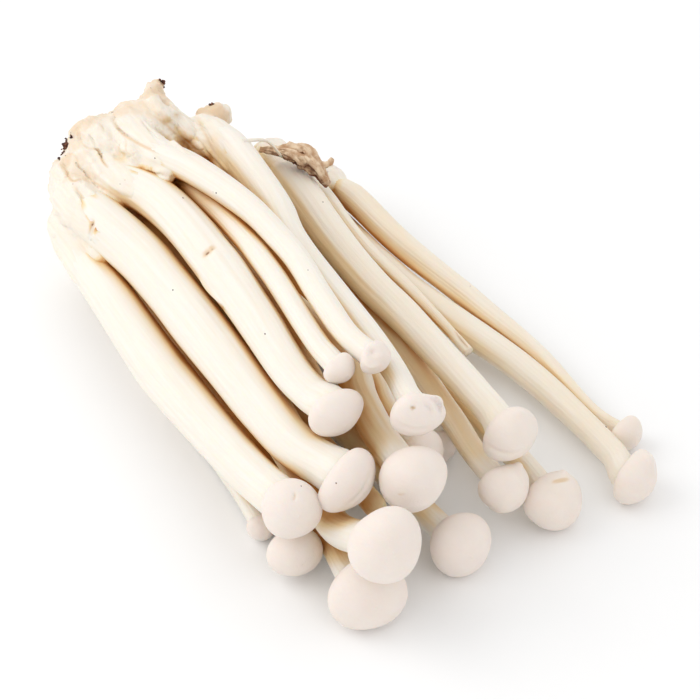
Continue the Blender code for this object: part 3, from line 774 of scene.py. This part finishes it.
def store(obj, name, values):
    """Keeps one number or vector for each vertex, for the materials."""
    values = np.asarray(values, np.float32)
    kind, key = ("FLOAT", "value") if values.ndim == 1 else ("FLOAT_VECTOR", "vector")
    attribute = obj.data.attributes.get(name) or obj.data.attributes.new(name, kind, "POINT")
    attribute.data.foreach_set(key, values.ravel())


def read(obj, name):
    values = np.zeros(len(obj.data.vertices), np.float32)
    obj.data.attributes[name].data.foreach_get("value", values)
    return values


def places(obj):
    """An object's vertices, in the bunch's millimetres."""
    co = np.zeros(len(obj.data.vertices) * 3, np.float32)
    obj.data.vertices.foreach_get("co", co)
    return co.reshape(-1, 3) / MM + ORIGIN


def put(obj, points):
    obj.data.vertices.foreach_set("co", ((points - ORIGIN) * MM).astype(np.float32).ravel())
    obj.data.update()


def keep_in_box(obj, box):
    """Moves the few vertices that stand outside the CAD model's box onto its sides."""
    low, high = (np.array(corner) / MM + ORIGIN for corner in box)
    put(obj, np.clip(places(obj), low + BOX_EASE, high - BOX_EASE))


def normals(obj):
    values = np.zeros(len(obj.data.vertices) * 3, np.float32)
    obj.data.vertices.foreach_get("normal", values)
    return values.reshape(-1, 3)


def surface_tree(objects):
    """A tree for casting rays onto objects, in the bunch's millimetres."""
    verts, faces = [], []
    for obj in objects:
        start = len(verts)
        verts += [Vector(p) for p in places(obj)]
        faces += [[start + i for i in face.vertices] for face in obj.data.polygons]
    return BVHTree.FromPolygons(verts, faces)


def build_mushroom(mushroom, line, seed, view):
    """One mushroom as a single closed surface: root, stem, neck, gills, rim and dome."""
    turn = np.linspace(0, math.tau, SIDES, endpoint=False)[None, :]
    rings, unrolled, across = stem_rings(mushroom, line, turn, seed, view)
    if mushroom.cap:
        neck = np.linalg.norm(rings[-1] - rings[-1].mean(axis=0), axis=1).mean()
        more, flat = cap_rings(mushroom, line[-1], across, neck, turn, seed, view.up)
        flat[:, :, 2] += unrolled[-1, 0, 2]
        rings, unrolled = np.concatenate([rings, more]), np.concatenate([unrolled, flat])
    rings[:, :, 2] = np.maximum(rings[:, :, 2], 0.0)
    name = f"white_{mushroom.name}"
    obj = mesh_object(name, with_ends(rings), ring_faces(len(rings), SIDES))
    store(obj, "unrolled", with_ends(unrolled))
    is_cap = (np.arange(len(rings)) >= STEM_RINGS + 2).astype(float)
    store(obj, "cap", np.append(np.repeat(is_cap, SIDES), [0, is_cap[-1]]))
    share = np.clip(np.arange(len(rings)) / STEM_RINGS, 0, 1)
    fade = 1 - 0.75 * smoothstep(0.9, 0.98, share)
    store(obj, "shade_share", np.append(np.repeat(fade, SIDES), [1, fade[-1]]))
    return obj


def join_meshes(objects, name):
    """Several objects' meshes in one object. The objects are removed."""
    mesh = bmesh.new()
    for obj in objects:
        mesh.from_mesh(obj.data)
        bpy.data.objects.remove(obj)
    data = bpy.data.meshes.new(name)
    mesh.to_mesh(data)
    mesh.free()
    data.shade_smooth()
    made = bpy.data.objects.new(name, data)
    bpy.context.scene.collection.objects.link(made)
    return made


def apply_modifiers(obj):
    bpy.context.view_layer.update()
    data = bpy.data.meshes.new_from_object(obj.evaluated_get(bpy.context.evaluated_depsgraph_get()))
    obj.modifiers.clear()
    obj.data = data


def tube_object(name, points, radii, sides=24):
    """A closed tube through the points."""
    turn = np.linspace(0, math.tau, sides, endpoint=False)[None, :]
    rings, _ = tube_rings(points, turn, radii[:, None])
    return mesh_object(name, with_ends(rings), ring_faces(len(rings), sides))


def ball_points(subdivisions):
    mesh = bmesh.new()
    bmesh.ops.create_icosphere(mesh, subdivisions=subdivisions, radius=1)
    points = np.array([v.co[:] for v in mesh.verts])
    faces = [[v.index for v in f.verts] for f in mesh.faces]
    mesh.free()
    return points, faces


def lobe_object(centre, half):
    points, faces = ball_points(LOBE_FINENESS)
    return mesh_object("lobe", points * half + centre, faces)


def stub_object(mushroom, line):
    """The skin round a root, which thins out until it goes under the stem's own surface."""
    fine = spline(line, STUB_SAMPLES)
    spacing = np.linalg.norm(fine[1] - fine[0])
    times, more = STUB_REACH
    count = round((mushroom.skin * times + more) / spacing)
    points = fine[:count:STUB_THINNING]
    back = unit(points[0] - points[1])
    points = np.concatenate([[points[0] + back * STUB_TAIL], points])
    share = np.linspace(0, 1, len(points))
    radii = mushroom.radii[0] + np.interp(share, (0, 0.5, 1), STUB_WALLS)
    radii[:2] *= STUB_START
    return tube_object("stub", points, radii)


def fractal(points, stretch, octaves, offset=0.0):
    """Layered noise at each point, about -1 to 1, with the points scaled along each axis first."""
    scaled = points * np.array(stretch) + offset
    return np.array([noise.fractal(Vector(p), 0.9, 2.1, octaves) for p in scaled])


def build_clump(lines, solids, view):
    """The root clump: lobes and stubs fused in one skin, to be folded and creased afterwards."""
    parts = [lobe_object(*place) for place in CLUMP_LOBES]
    parts += [stub_object(m, line) for m, line in zip(MUSHROOMS, lines) if m.skin]
    for pixel, half, sunk in KNOBS:
        parts.append(lobe_object(view.onto(solids, pixel)[0] + view.forward * sunk, half))
    flap_tip = np.array(HORN_ROUTE[-1]) + view.right * FLAP_PLACE[0] + view.up * FLAP_PLACE[1]
    flap_route = [view.onto(solids, pixel)[0] for pixel in FLAP_ROUTE] + [flap_tip]
    for route, radii in ((flap_route, FLAP_RADII), (HORN_ROUTE, HORN_RADII)):
        along = np.linspace(0, 2, HORN_RINGS)
        parts.append(tube_object("horn", spline(route, HORN_RINGS), np.interp(along, range(3), radii)))
    obj = join_meshes(parts, "folded_root_clump")
    fuse = obj.modifiers.new("fuse", "REMESH")
    fuse.mode = "VOXEL"
    fuse.voxel_size = CLUMP_VOXEL * MM
    soften = obj.modifiers.new("soften", "SMOOTH")
    soften.iterations = CLUMP_SMOOTHINGS
    apply_modifiers(obj)
    obj.data.shade_smooth()
    return obj


def lay_on_stems(obj, stems):
    """Brings the clump's skin down onto the stems where it ends, so that no edge shows."""
    points = places(obj)
    above = np.full(len(points), 9.0)
    for i, point in enumerate(points):
        near, normal, _, distance = stems.find_nearest(Vector(point), 4.0)
        if near is None:
            continue
        out = np.array(point) - near
        height = math.copysign(distance, out @ np.array(normal))
        above[i] = height
        if -1.5 < height < 2.0:
            wanted = height * smoothstep(-0.2, 1.6, height) if height > 0 else height - 0.15
            points[i] = np.array(near) + np.array(normal) * wanted
    put(obj, points)
    return above


def wrinkle(obj, above, lines):
    """Raises the clump's folds, which run along the stems and die out where its skin goes onto them."""
    points, out = places(obj), normals(obj)
    near = KDTree(len(lines) * STEM_SAMPLES)
    for i, line in enumerate(lines):
        for k, place in enumerate(line):
            near.insert(place, i * STEM_SAMPLES + k)
    near.balance()
    flow = np.zeros_like(points)
    for i, point in enumerate(points):
        for _, n, distance in near.find_n(point, 4):
            line, k = lines[n // STEM_SAMPLES], min(n % STEM_SAMPLES, STEM_SAMPLES - 2)
            flow[i] += unit(line[k + 1] - line[k]) / (distance + 1)
        flow[i] = unit(flow[i])
    along = (points * flow).sum(axis=1)[:, None] * flow
    across = points - along
    free = smoothstep(0.0, 1.8, above)
    folds = fractal(across * 0.2 + along * 0.02, (1, 1, 1), 2)
    ridges = 1 - 2 * np.abs(fractal(across * 0.45 + along * 0.03, (1, 1, 1), 2, 7.0))
    grain = fractal(across * 1.6 + along * 0.15, (1, 1, 1), 3, 3.0)
    height = (0.5 * folds + 0.22 * ridges) * free + 0.04 * grain * (0.3 + 0.7 * free)
    back = smoothstep(-78, -90, points[:, 0]) * smoothstep(2, 6, above)
    pits = 1 - 2 * np.abs(fractal(points, (0.16, 0.16, 0.16), 4, 31.0))
    height = height + back * (0.9 * pits - 0.5 + 0.5 * fractal(points, (0.09, 0.09, 0.09), 3, 17.0))
    put(obj, points + out * height[:, None])


def mark_routes(tree, view, marks):
    """The places on a piece where the pixels of each mark fall."""
    routes = []
    for pixels, *_ in marks:
        hits = [view.onto(tree, pixel) for pixel in spline(pixels, len(pixels) * MARK_STEPS)]
        routes.append([hit[0] for hit in hits if hit])
    return routes


def refine(obj, routes):
    """Splits the faces along the marks, so that their lines come out crisp."""
    near = KDTree(sum(len(route) for route in routes))
    for k, place in enumerate(place for route in routes for place in route):
        near.insert((place - ORIGIN) * MM, k)
    near.balance()
    mesh = bmesh.new()
    mesh.from_mesh(obj.data)
    middles = [(edge.verts[0].co + edge.verts[1].co) / 2 for edge in mesh.edges]
    edges = [edge for edge, middle in zip(mesh.edges, middles) if near.find(middle)[2] < REFINE_REACH * MM]
    bmesh.ops.subdivide_edges(mesh, edges=edges, cuts=1, use_grid_fill=True)
    mesh.to_mesh(obj.data)
    mesh.free()
    obj.data.shade_smooth()


def carve(obj, routes, marks):
    """Carves marks into a piece, or raises those of a depth below zero. Gives how dark each vertex gets."""
    points, out = places(obj), normals(obj)
    dark, sink = np.zeros(len(points)), np.zeros(len(points))
    near = KDTree(len(points))
    for i, point in enumerate(points):
        near.insert(point, i)
    near.balance()
    for route, (_, width, depth, shade) in zip(routes, marks):
        for k, place in enumerate(route):
            ends = math.sin(math.pi * (k + 0.5) / len(route)) ** 0.5
            for _, i, distance in near.find_range(place, 3 * width):
                if depth > 0:
                    strength = max(0.0, 1 - distance / (1.7 * width)) ** 1.3 * ends
                    sink[i] = max(sink[i], strength * depth)
                    dark[i] = max(dark[i], strength * shade)
                else:
                    sink[i] = min(sink[i], math.exp(-((distance / width) ** 2)) * ends * depth)
    put(obj, points - out * sink[:, None])
    return dark


def stain(obj, tree, view, stains):
    """How far each vertex has dried, from discs where the pixels fall on the piece."""
    points = places(obj)
    dried = np.zeros(len(points))
    uneven = 1 + 0.5 * fractal(points, (0.35, 0.35, 0.35), 3, 21.0)
    for pixel, radius, amount in stains:
        hit = view.onto(tree, pixel)
        if hit:
            distance = np.linalg.norm(points - hit[0], axis=1)
            dried = np.maximum(dried, amount * smoothstep(1.25, 0.3, distance / radius * uneven))
    return dried


def hemisphere(count):
    """Directions spread evenly over a half ball round +Z."""
    k = np.arange(count) + 0.5
    turn = k * math.pi * (1 + math.sqrt(5))
    wide = np.sqrt(k / count)
    return np.stack([wide * np.cos(turn), wide * np.sin(turn), np.sqrt(1 - k / count)], axis=1)


DIRECTIONS = hemisphere(CLEAR_RAYS)


def shut_in(point, out, solids):
    """The share of the directions out of a surface point in which a piece stands close by."""
    side = unit(np.cross(out, (0.31, 0.87, 0.2)))
    directions = DIRECTIONS @ np.array([side, np.cross(out, side), out])
    start = Vector(point + out * CLEAR_START)
    hits = [solids.ray_cast(start, Vector(d), CLEAR_REACH)[0] is not None for d in directions]
    return sum(hits) / CLEAR_RAYS


def ring_deepness(obj, solids):
    """How shut in each vertex of a ringed piece is, from every few rings and sides."""
    points, out = places(obj)[:-2], normals(obj)[:-2]
    count = len(points) // SIDES
    rows = np.unique([*range(0, count, RING_STEP), count - 1])
    columns = np.arange(0, SIDES, SIDE_STEP)
    picked = rows[:, None] * SIDES + columns
    shut = np.array([[shut_in(points[i], out[i], solids) for i in row] for row in picked])
    rounded = np.array([np.interp(np.arange(SIDES), columns, row, period=SIDES) for row in shut])
    full = np.array([np.interp(np.arange(count), rows, column) for column in rounded.T]).T
    return np.append(full, [full[0].mean(), full[-1].mean()])


def free_deepness(obj, solids):
    """How shut in each vertex of any piece is, from a random few of them."""
    points, out = places(obj), normals(obj)
    random = np.random.default_rng(FREE_SEED)
    picked = random.choice(len(points), len(points) // FREE_STEP, replace=False)
    tree = KDTree(len(picked))
    shut = np.zeros(len(points))
    for i in picked:
        shut[i] = shut_in(points[i], out[i], solids)
        tree.insert(points[i], i)
    tree.balance()
    values = np.zeros(len(points))
    for k, point in enumerate(points):
        close = tree.find_n(point, 8)
        weights = [1 / (distance + 0.6) for _, _, distance in close]
        values[k] = sum(w * shut[i] for w, (_, i, _) in zip(weights, close)) / sum(weights)
    return values


def build_scrap(line, tree, view):
    """The withered pin: a dried stem crumpled into folds, with a thin tail and a curled tip; its hollows are
    carved afterwards.
    """
    turn = np.linspace(0, math.tau, SCRAP_SIDES, endpoint=False)[None, :]
    share = np.linspace(0, 1, SCRAP_RINGS)[:, None]
    folds = sum(deep * np.cos(waves * turn + drift * share) for deep, waves, drift in SCRAP_FOLDS)
    wide = np.interp(share, *SCRAP_WIDTHS) * (1 + folds)
    rings, _ = tube_rings(spline(line, SCRAP_RINGS), turn, wide)
    body = mesh_object("body", with_ends(rings), ring_faces(SCRAP_RINGS, SCRAP_SIDES))
    first, second = (view.onto(tree, pixel)[0] for pixel in CURL_START)
    second = second + np.array([0, 0, CURL_LIFT])
    route = [first, second, *(second + view.right * right + view.up * up for right, up in CURL_STEPS)]
    radii = np.interp(np.linspace(0, 1, CURL_RINGS), *CURL_RADII)
    curl = tube_object("curl", spline(route, CURL_RINGS), radii)
    obj = join_meshes([body, curl], "withered_pin_scrap")
    place, out = places(obj), normals(obj)
    crumple = 1 - 2 * np.abs(fractal(place, (0.24, 0.24, 0.24), 2, 11.0))
    grain = fractal(place, (1.8, 1.8, 1.8), 3)
    put(obj, place + out * (SCRAP_CRUMPLE * crumple + SCRAP_GRAIN * grain)[:, None])
    return obj


def build_inner_pin(name, route, radii):
    """An undeveloped pin that fills a gap low down between the stems."""
    share = np.linspace(0, 1, PIN_RINGS)
    rounded = np.sqrt(np.clip((1 - share) * 18, 0.02, 1))
    widths = np.interp(share, (0, 0.5, 1), radii) * rounded
    return tube_object(name, spline(route, PIN_RINGS), widths, PIN_SIDES)


def build_crumbs(tree, view):
    """Crumbs of dark, dried substrate on the clump's tips, and specks of it on the stems."""
    random = np.random.default_rng(5)
    ball, faces = ball_points(CRUMB_FINENESS)
    parts, hits = [], []
    for pixel, size in [*CRUMB_PLACES, *((pixel, SPECK_SIZE) for pixel in SPECK_PLACES)]:
        hit = view.onto(tree, pixel)
        if hit:
            hits.append((*hit, size))
    for _ in range(BACK_CRUMBS):
        start = np.array([BACK_FROM, random.uniform(*BACK_ACROSS), random.uniform(*BACK_HEIGHTS)])
        place, normal, _, _ = tree.ray_cast(Vector(start), Vector((1, 0, 0)), BACK_REACH)
        if place is not None:
            hits.append((np.array(place), np.array(normal), random.uniform(*BACK_SIZES)))
    for place, normal, size in hits:
        lumps = CRUMB_LUMPS if size > LUMPY_SIZE else 1
        for _ in range(lumps):
            away = random.normal(0, 0.4 * size, 3) if lumps > 1 else np.zeros(3)
            scale = size * random.uniform(0.3, 0.9)
            shape = np.array([1, random.uniform(0.6, 1), random.uniform(0.5, 0.9)])
            rough = 1 + 0.35 * fractal(ball, (1.6, 1.6, 1.6), 2, random.uniform(0, 50))
            lump = ball * rough[:, None] * scale * shape
            parts.append(mesh_object("crumb", place + away - normal * 0.1 + lump, faces))
    return join_meshes(parts, "dark_substrate_crumbs")


def build_filament(tree, view):
    """A thin dried thread that bridges from the clump to the withered pin."""
    first, last = (view.onto(tree, pixel)[0] for pixel in THREAD_ENDS)
    high = (first + last) / 2 + view.right * THREAD_ARCH[0] + view.up * THREAD_ARCH[1]
    radii = np.interp(np.linspace(0, 1, THREAD_RINGS), *THREAD_RADII)
    return tube_object("dried_thread", spline([first, high, last], THREAD_RINGS), radii, THREAD_SIDES)


def node(tree, kind, inputs=None, **settings):
    """A shader node with its settings, and its inputs set or linked."""
    made = tree.nodes.new(kind)
    for key, value in settings.items():
        setattr(made, key, value)
    for key, value in (inputs or {}).items():
        if isinstance(value, bpy.types.NodeSocket):
            tree.links.new(value, made.inputs[key])
        else:
            made.inputs[key].default_value = value
    return made


def srgb(red, green, blue):
    """A screen colour, from 0 to 255 a channel, as the linear colour that a shader takes."""
    channels = np.array([red, green, blue]) / 255
    linear = np.where(channels > 0.04045, ((channels + 0.055) / 1.055) ** 2.4, channels / 12.92)
    return (*linear.tolist(), 1.0)


def mixed(tree, share, first, second):
    """One colour going over into another by a share."""
    return node(tree, "ShaderNodeMix", {0: share, 6: first, 7: second}, data_type="RGBA").outputs[2]


def attribute(tree, name):
    return node(tree, "ShaderNodeAttribute", attribute_name=name).outputs["Fac"]


def stretched_noise(tree, stretch, scale, detail):
    """Noise on the unrolled surface, stretched along it."""
    place = node(tree, "ShaderNodeAttribute", attribute_name="unrolled").outputs["Vector"]
    scaled = node(tree, "ShaderNodeVectorMath", {0: place, 1: stretch}, operation="MULTIPLY").outputs[0]
    inputs = {"Vector": scaled, "Scale": scale, "Detail": detail, "Roughness": 0.6}
    return node(tree, "ShaderNodeTexNoise", inputs).outputs["Fac"]


def ramp(tree, share, low, high):
    """A share that goes from 0 at low to 1 at high."""
    inputs = {"Value": share, "From Min": low, "From Max": high}
    return node(tree, "ShaderNodeMapRange", inputs, interpolation_type="SMOOTHSTEP").outputs[0]


def start_material(name):
    """A material without nodes, and its node tree."""
    material = bpy.data.materials.new(name)
    material.use_nodes = True
    material.node_tree.nodes.clear()
    return material, material.node_tree


def relief(tree, height, strength, distance, below=None):
    """A fine relief, over another one where there is one."""
    inputs = {"Height": height, "Strength": strength, "Distance": distance}
    if below:
        inputs["Normal"] = below
    return node(tree, "ShaderNodeBump", inputs).outputs[0]


def end_material(tree, colour, normal, rough, **more):
    """The surface of a material, from its colour, relief and roughness, and any other inputs."""
    inputs = {"Base Color": colour, "Normal": normal, "Roughness": rough}
    inputs.update({key.replace("_", " "): value for key, value in more.items()})
    shader = node(tree, "ShaderNodeBsdfPrincipled", inputs)
    node(tree, "ShaderNodeOutputMaterial", {"Surface": shader.outputs[0]})


def object_noise(tree, scale, detail):
    """Even noise through an object."""
    place = node(tree, "ShaderNodeTexCoord").outputs["Object"]
    inputs = {"Vector": place, "Scale": scale, "Detail": detail}
    return node(tree, "ShaderNodeTexNoise", inputs).outputs["Fac"]


def tissue_material(name, fresh, fresh_second, capped, rough):
    """Fresh mushroom tissue: ivory fibres that let in a little light, with painted warm shade in the gaps, a
    painted grey-tan shade on the stems to the right, tan and brown where dried, and painted shade in creases
    and carved marks.
    """
    material, tree = start_material(name)
    fibre = stretched_noise(tree, (1.0, 1.0, 0.05), 1.8, 4.0)
    grain = stretched_noise(tree, (1.0, 1.0, 0.5), 2.6, 5.0)
    cloud = stretched_noise(tree, (1.0, 1.0, 0.35), 0.16, 2.0)
    streak = stretched_noise(tree, (1.0, 1.0, 0.03), 0.9, 3.0)
    deep, dry_and_painted_shade = attribute(tree, "deep"), attribute(tree, "dry_and_painted_shade")
    stem = mixed(tree, ramp(tree, streak, 0.3, 0.8), fresh, fresh_second)
    colour = mixed(tree, attribute(tree, "cap"), stem, mixed(tree, cloud, *capped))
    # Painted shade: a warm grey-tan over the stems on the right of the picture.
    colour = mixed(tree, attribute(tree, "painted_right_shade"), colour, srgb(238, 224, 202))
    # Painted shade: warm tan, then orange-brown, where other pieces shut a place in.
    colour = mixed(tree, ramp(tree, deep, 0.25, 0.7), colour, srgb(238, 212, 166))
    colour = mixed(tree, ramp(tree, deep, 0.62, 0.95), colour, srgb(208, 144, 72))
    # Tan and brown where the tissue has dried, and painted shade in creases and carved marks, from one
    # attribute.
    colour = mixed(tree, ramp(tree, dry_and_painted_shade, 0.0, 0.6), colour, srgb(228, 203, 172))
    colour = mixed(tree, ramp(tree, dry_and_painted_shade, 0.55, 1.0), colour, srgb(120, 66, 34))
    bump = relief(tree, grain, 0.15, 0.0003, relief(tree, fibre, 0.3, 0.0004))
    scatter = {"Subsurface_Weight": 0.25, "Subsurface_Radius": (1.0, 0.55, 0.3), "Subsurface_Scale": 0.0012}
    end_material(tree, colour, bump, rough, Specular_IOR_Level=0.3, **scatter)
    return material


def dried_material():
    """Dried tissue: tan with paler patches, and painted brown shade in its carved hollows and where other
    pieces shut it in.
    """
    material, tree = start_material("dried_tissue")
    cloud, grain = object_noise(tree, 420.0, 4.0), object_noise(tree, 1900.0, 4.0)
    colour = mixed(tree, ramp(tree, cloud, 0.35, 0.65), srgb(190, 150, 114), srgb(232, 208, 178))
    # Painted shade: brown in the carved hollows and where other pieces shut the scrap in.
    colour = mixed(tree, ramp(tree, attribute(tree, "deep"), 0.35, 0.8), colour, srgb(112, 66, 38))
    end_material(tree, colour, relief(tree, grain, 0.5, 0.0003), 0.75)
    return material


def crumb_material():
    """Dark brown crumbs of what the bunch grew on."""
    material, tree = start_material("substrate_crumbs")
    cloud = object_noise(tree, 900.0, 3.0)
    colour = mixed(tree, ramp(tree, cloud, 0.4, 0.7), srgb(62, 26, 16), srgb(128, 80, 56))
    end_material(tree, colour, relief(tree, cloud, 0.6, 0.0004), 0.85)
    return material


def add_camera(view):
    data = bpy.data.cameras.new("camera")
    data.lens = LENS
    data.sensor_width = SENSOR
    data.clip_start = 0.05
    obj = bpy.data.objects.new("camera", data)
    turn = Matrix((view.right, view.up, -view.forward)).transposed().to_4x4()
    obj.matrix_world = Matrix.Translation((view.place - ORIGIN) * MM) @ turn
    bpy.context.scene.collection.objects.link(obj)
    bpy.context.scene.camera = obj


def area_light(name, place, aim, size, power):
    data = bpy.data.lights.new(name, "AREA")
    data.shape = "DISK"
    data.size = size
    data.energy = power
    obj = bpy.data.objects.new(name, data)
    obj.location = place
    obj.rotation_euler = (Vector(aim) - Vector(place)).to_track_quat("-Z", "Y").to_euler()
    bpy.context.scene.collection.objects.link(obj)


def add_stage(view):
    """A near-white floor, a white room, and one large soft light above the left of the picture."""
    mesh = bpy.data.meshes.new("floor")
    corners = [(x * FLOOR_HALF, y * FLOOR_HALF, 0) for x, y in ((-1, -1), (1, -1), (1, 1), (-1, 1))]
    mesh.from_pydata(corners, [], [(0, 1, 2, 3)])
    floor = bpy.data.objects.new("floor", mesh)
    bpy.context.scene.collection.objects.link(floor)
    paper = bpy.data.materials.new("floor")
    paper.use_nodes = True
    shader = paper.node_tree.nodes["Principled BSDF"]
    shader.inputs["Base Color"].default_value = (FLOOR_SHADE, FLOOR_SHADE, FLOOR_SHADE, 1)
    shader.inputs["Roughness"].default_value = 0.9
    floor.data.materials.append(paper)
    world = bpy.data.worlds.new("studio")
    world.use_nodes = True
    background = world.node_tree.nodes["Background"]
    background.inputs["Color"].default_value = (1, 1, 1, 1)
    background.inputs["Strength"].default_value = ROOM_LIGHT
    bpy.context.scene.world = world
    aim = (CAMERA_AIM - ORIGIN) * MM
    right, up, forward = KEY_PLACE
    key = aim + right * view.right + up * view.up + forward * view.forward
    area_light("key", key, aim, KEY_SIZE, KEY_POWER)
    bpy.context.scene.view_settings.view_transform = "Standard"


def finish_piece(obj, material, slot, *replaced):
    obj.data.materials.clear()
    obj.data.materials.append(material)
    if replaced:
        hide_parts(*replaced)
    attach(obj, "root")


def low_stems(mushrooms):
    """A tree of the stems' lower halves, from some of their rings and sides."""
    low = []
    for obj in mushrooms:
        keep = places(obj)[: (STEM_RINGS // 2) * SIDES].reshape(-1, SIDES, 3)[::2, ::4]
        low.append(mesh_object("low", with_ends(keep), ring_faces(len(keep), SIDES // 4)))
    tree = surface_tree(low)
    for obj in low:
        bpy.data.objects.remove(obj)
    return tree


def fold_clump(clump, stems, lines, view):
    """Lays the clump's skin on the stems, then folds and creases it. Gives how dark its creases get."""
    wrinkle(clump, lay_on_stems(clump, stems), lines)
    creases = mark_routes(surface_tree([clump]), view, CLUMP_CREASES)
    refine(clump, creases)
    creased = carve(clump, creases, CLUMP_CREASES)
    points = places(clump)
    points[:, 2] = np.maximum(points[:, 2], 0)
    put(clump, points)
    return creased


def tint_clump(clump, creased, view):
    """Keeps how far the clump has dried, at its back and in the stains, together with the painted shade in
    its creases.
    """
    points = places(clump)
    store(clump, "unrolled", points[:, [1, 2, 0]])
    store(clump, "cap", np.zeros(len(points)))
    patchy = fractal(points, (0.12, 0.12, 0.12), 4, 9.0)
    back = (0.3 + 0.3 * patchy) * smoothstep(-80, -93, points[:, 0] + 3 * patchy)
    stained = stain(clump, surface_tree([clump]), view, STAINS)
    # Dried colour at the back and in the stains, and painted shade in the creases.
    store(clump, "dry_and_painted_shade", np.clip(np.maximum(back, 0.85 * np.maximum(stained, creased)), 0, 1))


def hollow_scrap(scrap, view):
    """Carves the scrap's hollows, and keeps how dark they are, as painted shade."""
    hollow = carve(scrap, mark_routes(surface_tree([scrap]), view, SCRAP_MARKS), SCRAP_MARKS)
    store(scrap, "deep", np.maximum(read(scrap, "deep"), hollow))


def mark_mushroom(name, obj, view):
    """Carves a mushroom's marks, and keeps how dark they get, partly their brown and partly painted shade,
    how far a painted warm grey-tan shade tints it, and how shut in it is, which sets the painted shade in its
    gaps.
    """
    marked = np.zeros(len(obj.data.vertices))
    if name in PIECE_MARKS:
        marked = carve(obj, mark_routes(surface_tree([obj]), view, PIECE_MARKS[name]), PIECE_MARKS[name])
    # How dark each mark is: partly its brown, partly painted shade.
    store(obj, "dry_and_painted_shade", marked)
    uneven = fractal(places(obj), (0.02, 0.12, 0.12), 2, 5.0)
    paler = 1 - 0.75 * read(obj, "cap")
    # Painted shade on the right-hand stems, less on their caps.
    store(obj, "painted_right_shade", np.clip(RIGHT_STEMS_PAINTED_SHADE.get(name, 0.0) * (1 + 1.2 * uneven) * paler, 0, 1))
    store(obj, "deep", read(obj, "deep") * read(obj, "shade_share"))


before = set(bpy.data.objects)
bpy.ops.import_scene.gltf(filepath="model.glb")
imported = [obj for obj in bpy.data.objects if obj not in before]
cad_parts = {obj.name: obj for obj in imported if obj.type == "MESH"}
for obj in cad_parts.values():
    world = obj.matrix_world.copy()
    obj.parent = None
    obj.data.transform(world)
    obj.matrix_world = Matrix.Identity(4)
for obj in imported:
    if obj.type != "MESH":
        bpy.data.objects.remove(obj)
cad_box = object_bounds()
view = View()
lines = settle(MUSHROOMS)
cap_colours = (srgb(242, 232, 224), srgb(236, 223, 213))
flesh = tissue_material("mushroom_flesh", srgb(242, 236, 226), srgb(239, 230, 216), cap_colours, 0.5)
root = tissue_material("root_tissue", srgb(241, 234, 222), srgb(238, 227, 211), cap_colours, 0.6)

mushrooms = {
    mushroom.name: build_mushroom(mushroom, line, 10 * k, view)
    for k, (mushroom, line) in enumerate(zip(MUSHROOMS, lines))
    if mushroom.name != "withered_pin"
}
clump = build_clump(lines, surface_tree(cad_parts.values()), view)
creased = fold_clump(clump, low_stems(mushrooms.values()), lines, view)
bunch = surface_tree([clump, *mushrooms.values()])
scrap = build_scrap(lines[-1], bunch, view)
pins = [build_inner_pin(f"inner_pin_{k + 1}", *pin) for k, pin in enumerate(INNER_PINS)]

# Painted shade: how shut in each place is, which darkens and warms the gaps in the materials.
for obj in mushrooms.values():
    store(obj, "deep", ring_deepness(obj, bunch))
for obj in [clump, scrap, *pins]:
    store(obj, "deep", free_deepness(obj, bunch))
tint_clump(clump, creased, view)
hollow_scrap(scrap, view)
for name, obj in mushrooms.items():
    mark_mushroom(name, obj, view)
dressed = surface_tree([clump, scrap, *mushrooms.values()])
crumbs = build_crumbs(dressed, view)
thread = build_filament(dressed, view)
for obj in pins:
    store(obj, "unrolled", places(obj)[:, [1, 2, 0]])
store(thread, "unrolled", places(thread))

for name, obj in mushrooms.items():
    finish_piece(obj, flesh, "mushroom_flesh", name)
for obj in pins:
    finish_piece(obj, flesh, "mushroom_flesh")
finish_piece(clump, root, "root_tissue", "root_clump")
finish_piece(scrap, dried_material(), "dried_tissue", "withered_pin")
finish_piece(crumbs, crumb_material(), "root_tissue")
finish_piece(thread, root, "root_tissue")
for obj in [*mushrooms.values(), *pins, clump, scrap, crumbs, thread]:
    keep_in_box(obj, cad_box)
add_camera(view)
add_stage(view)
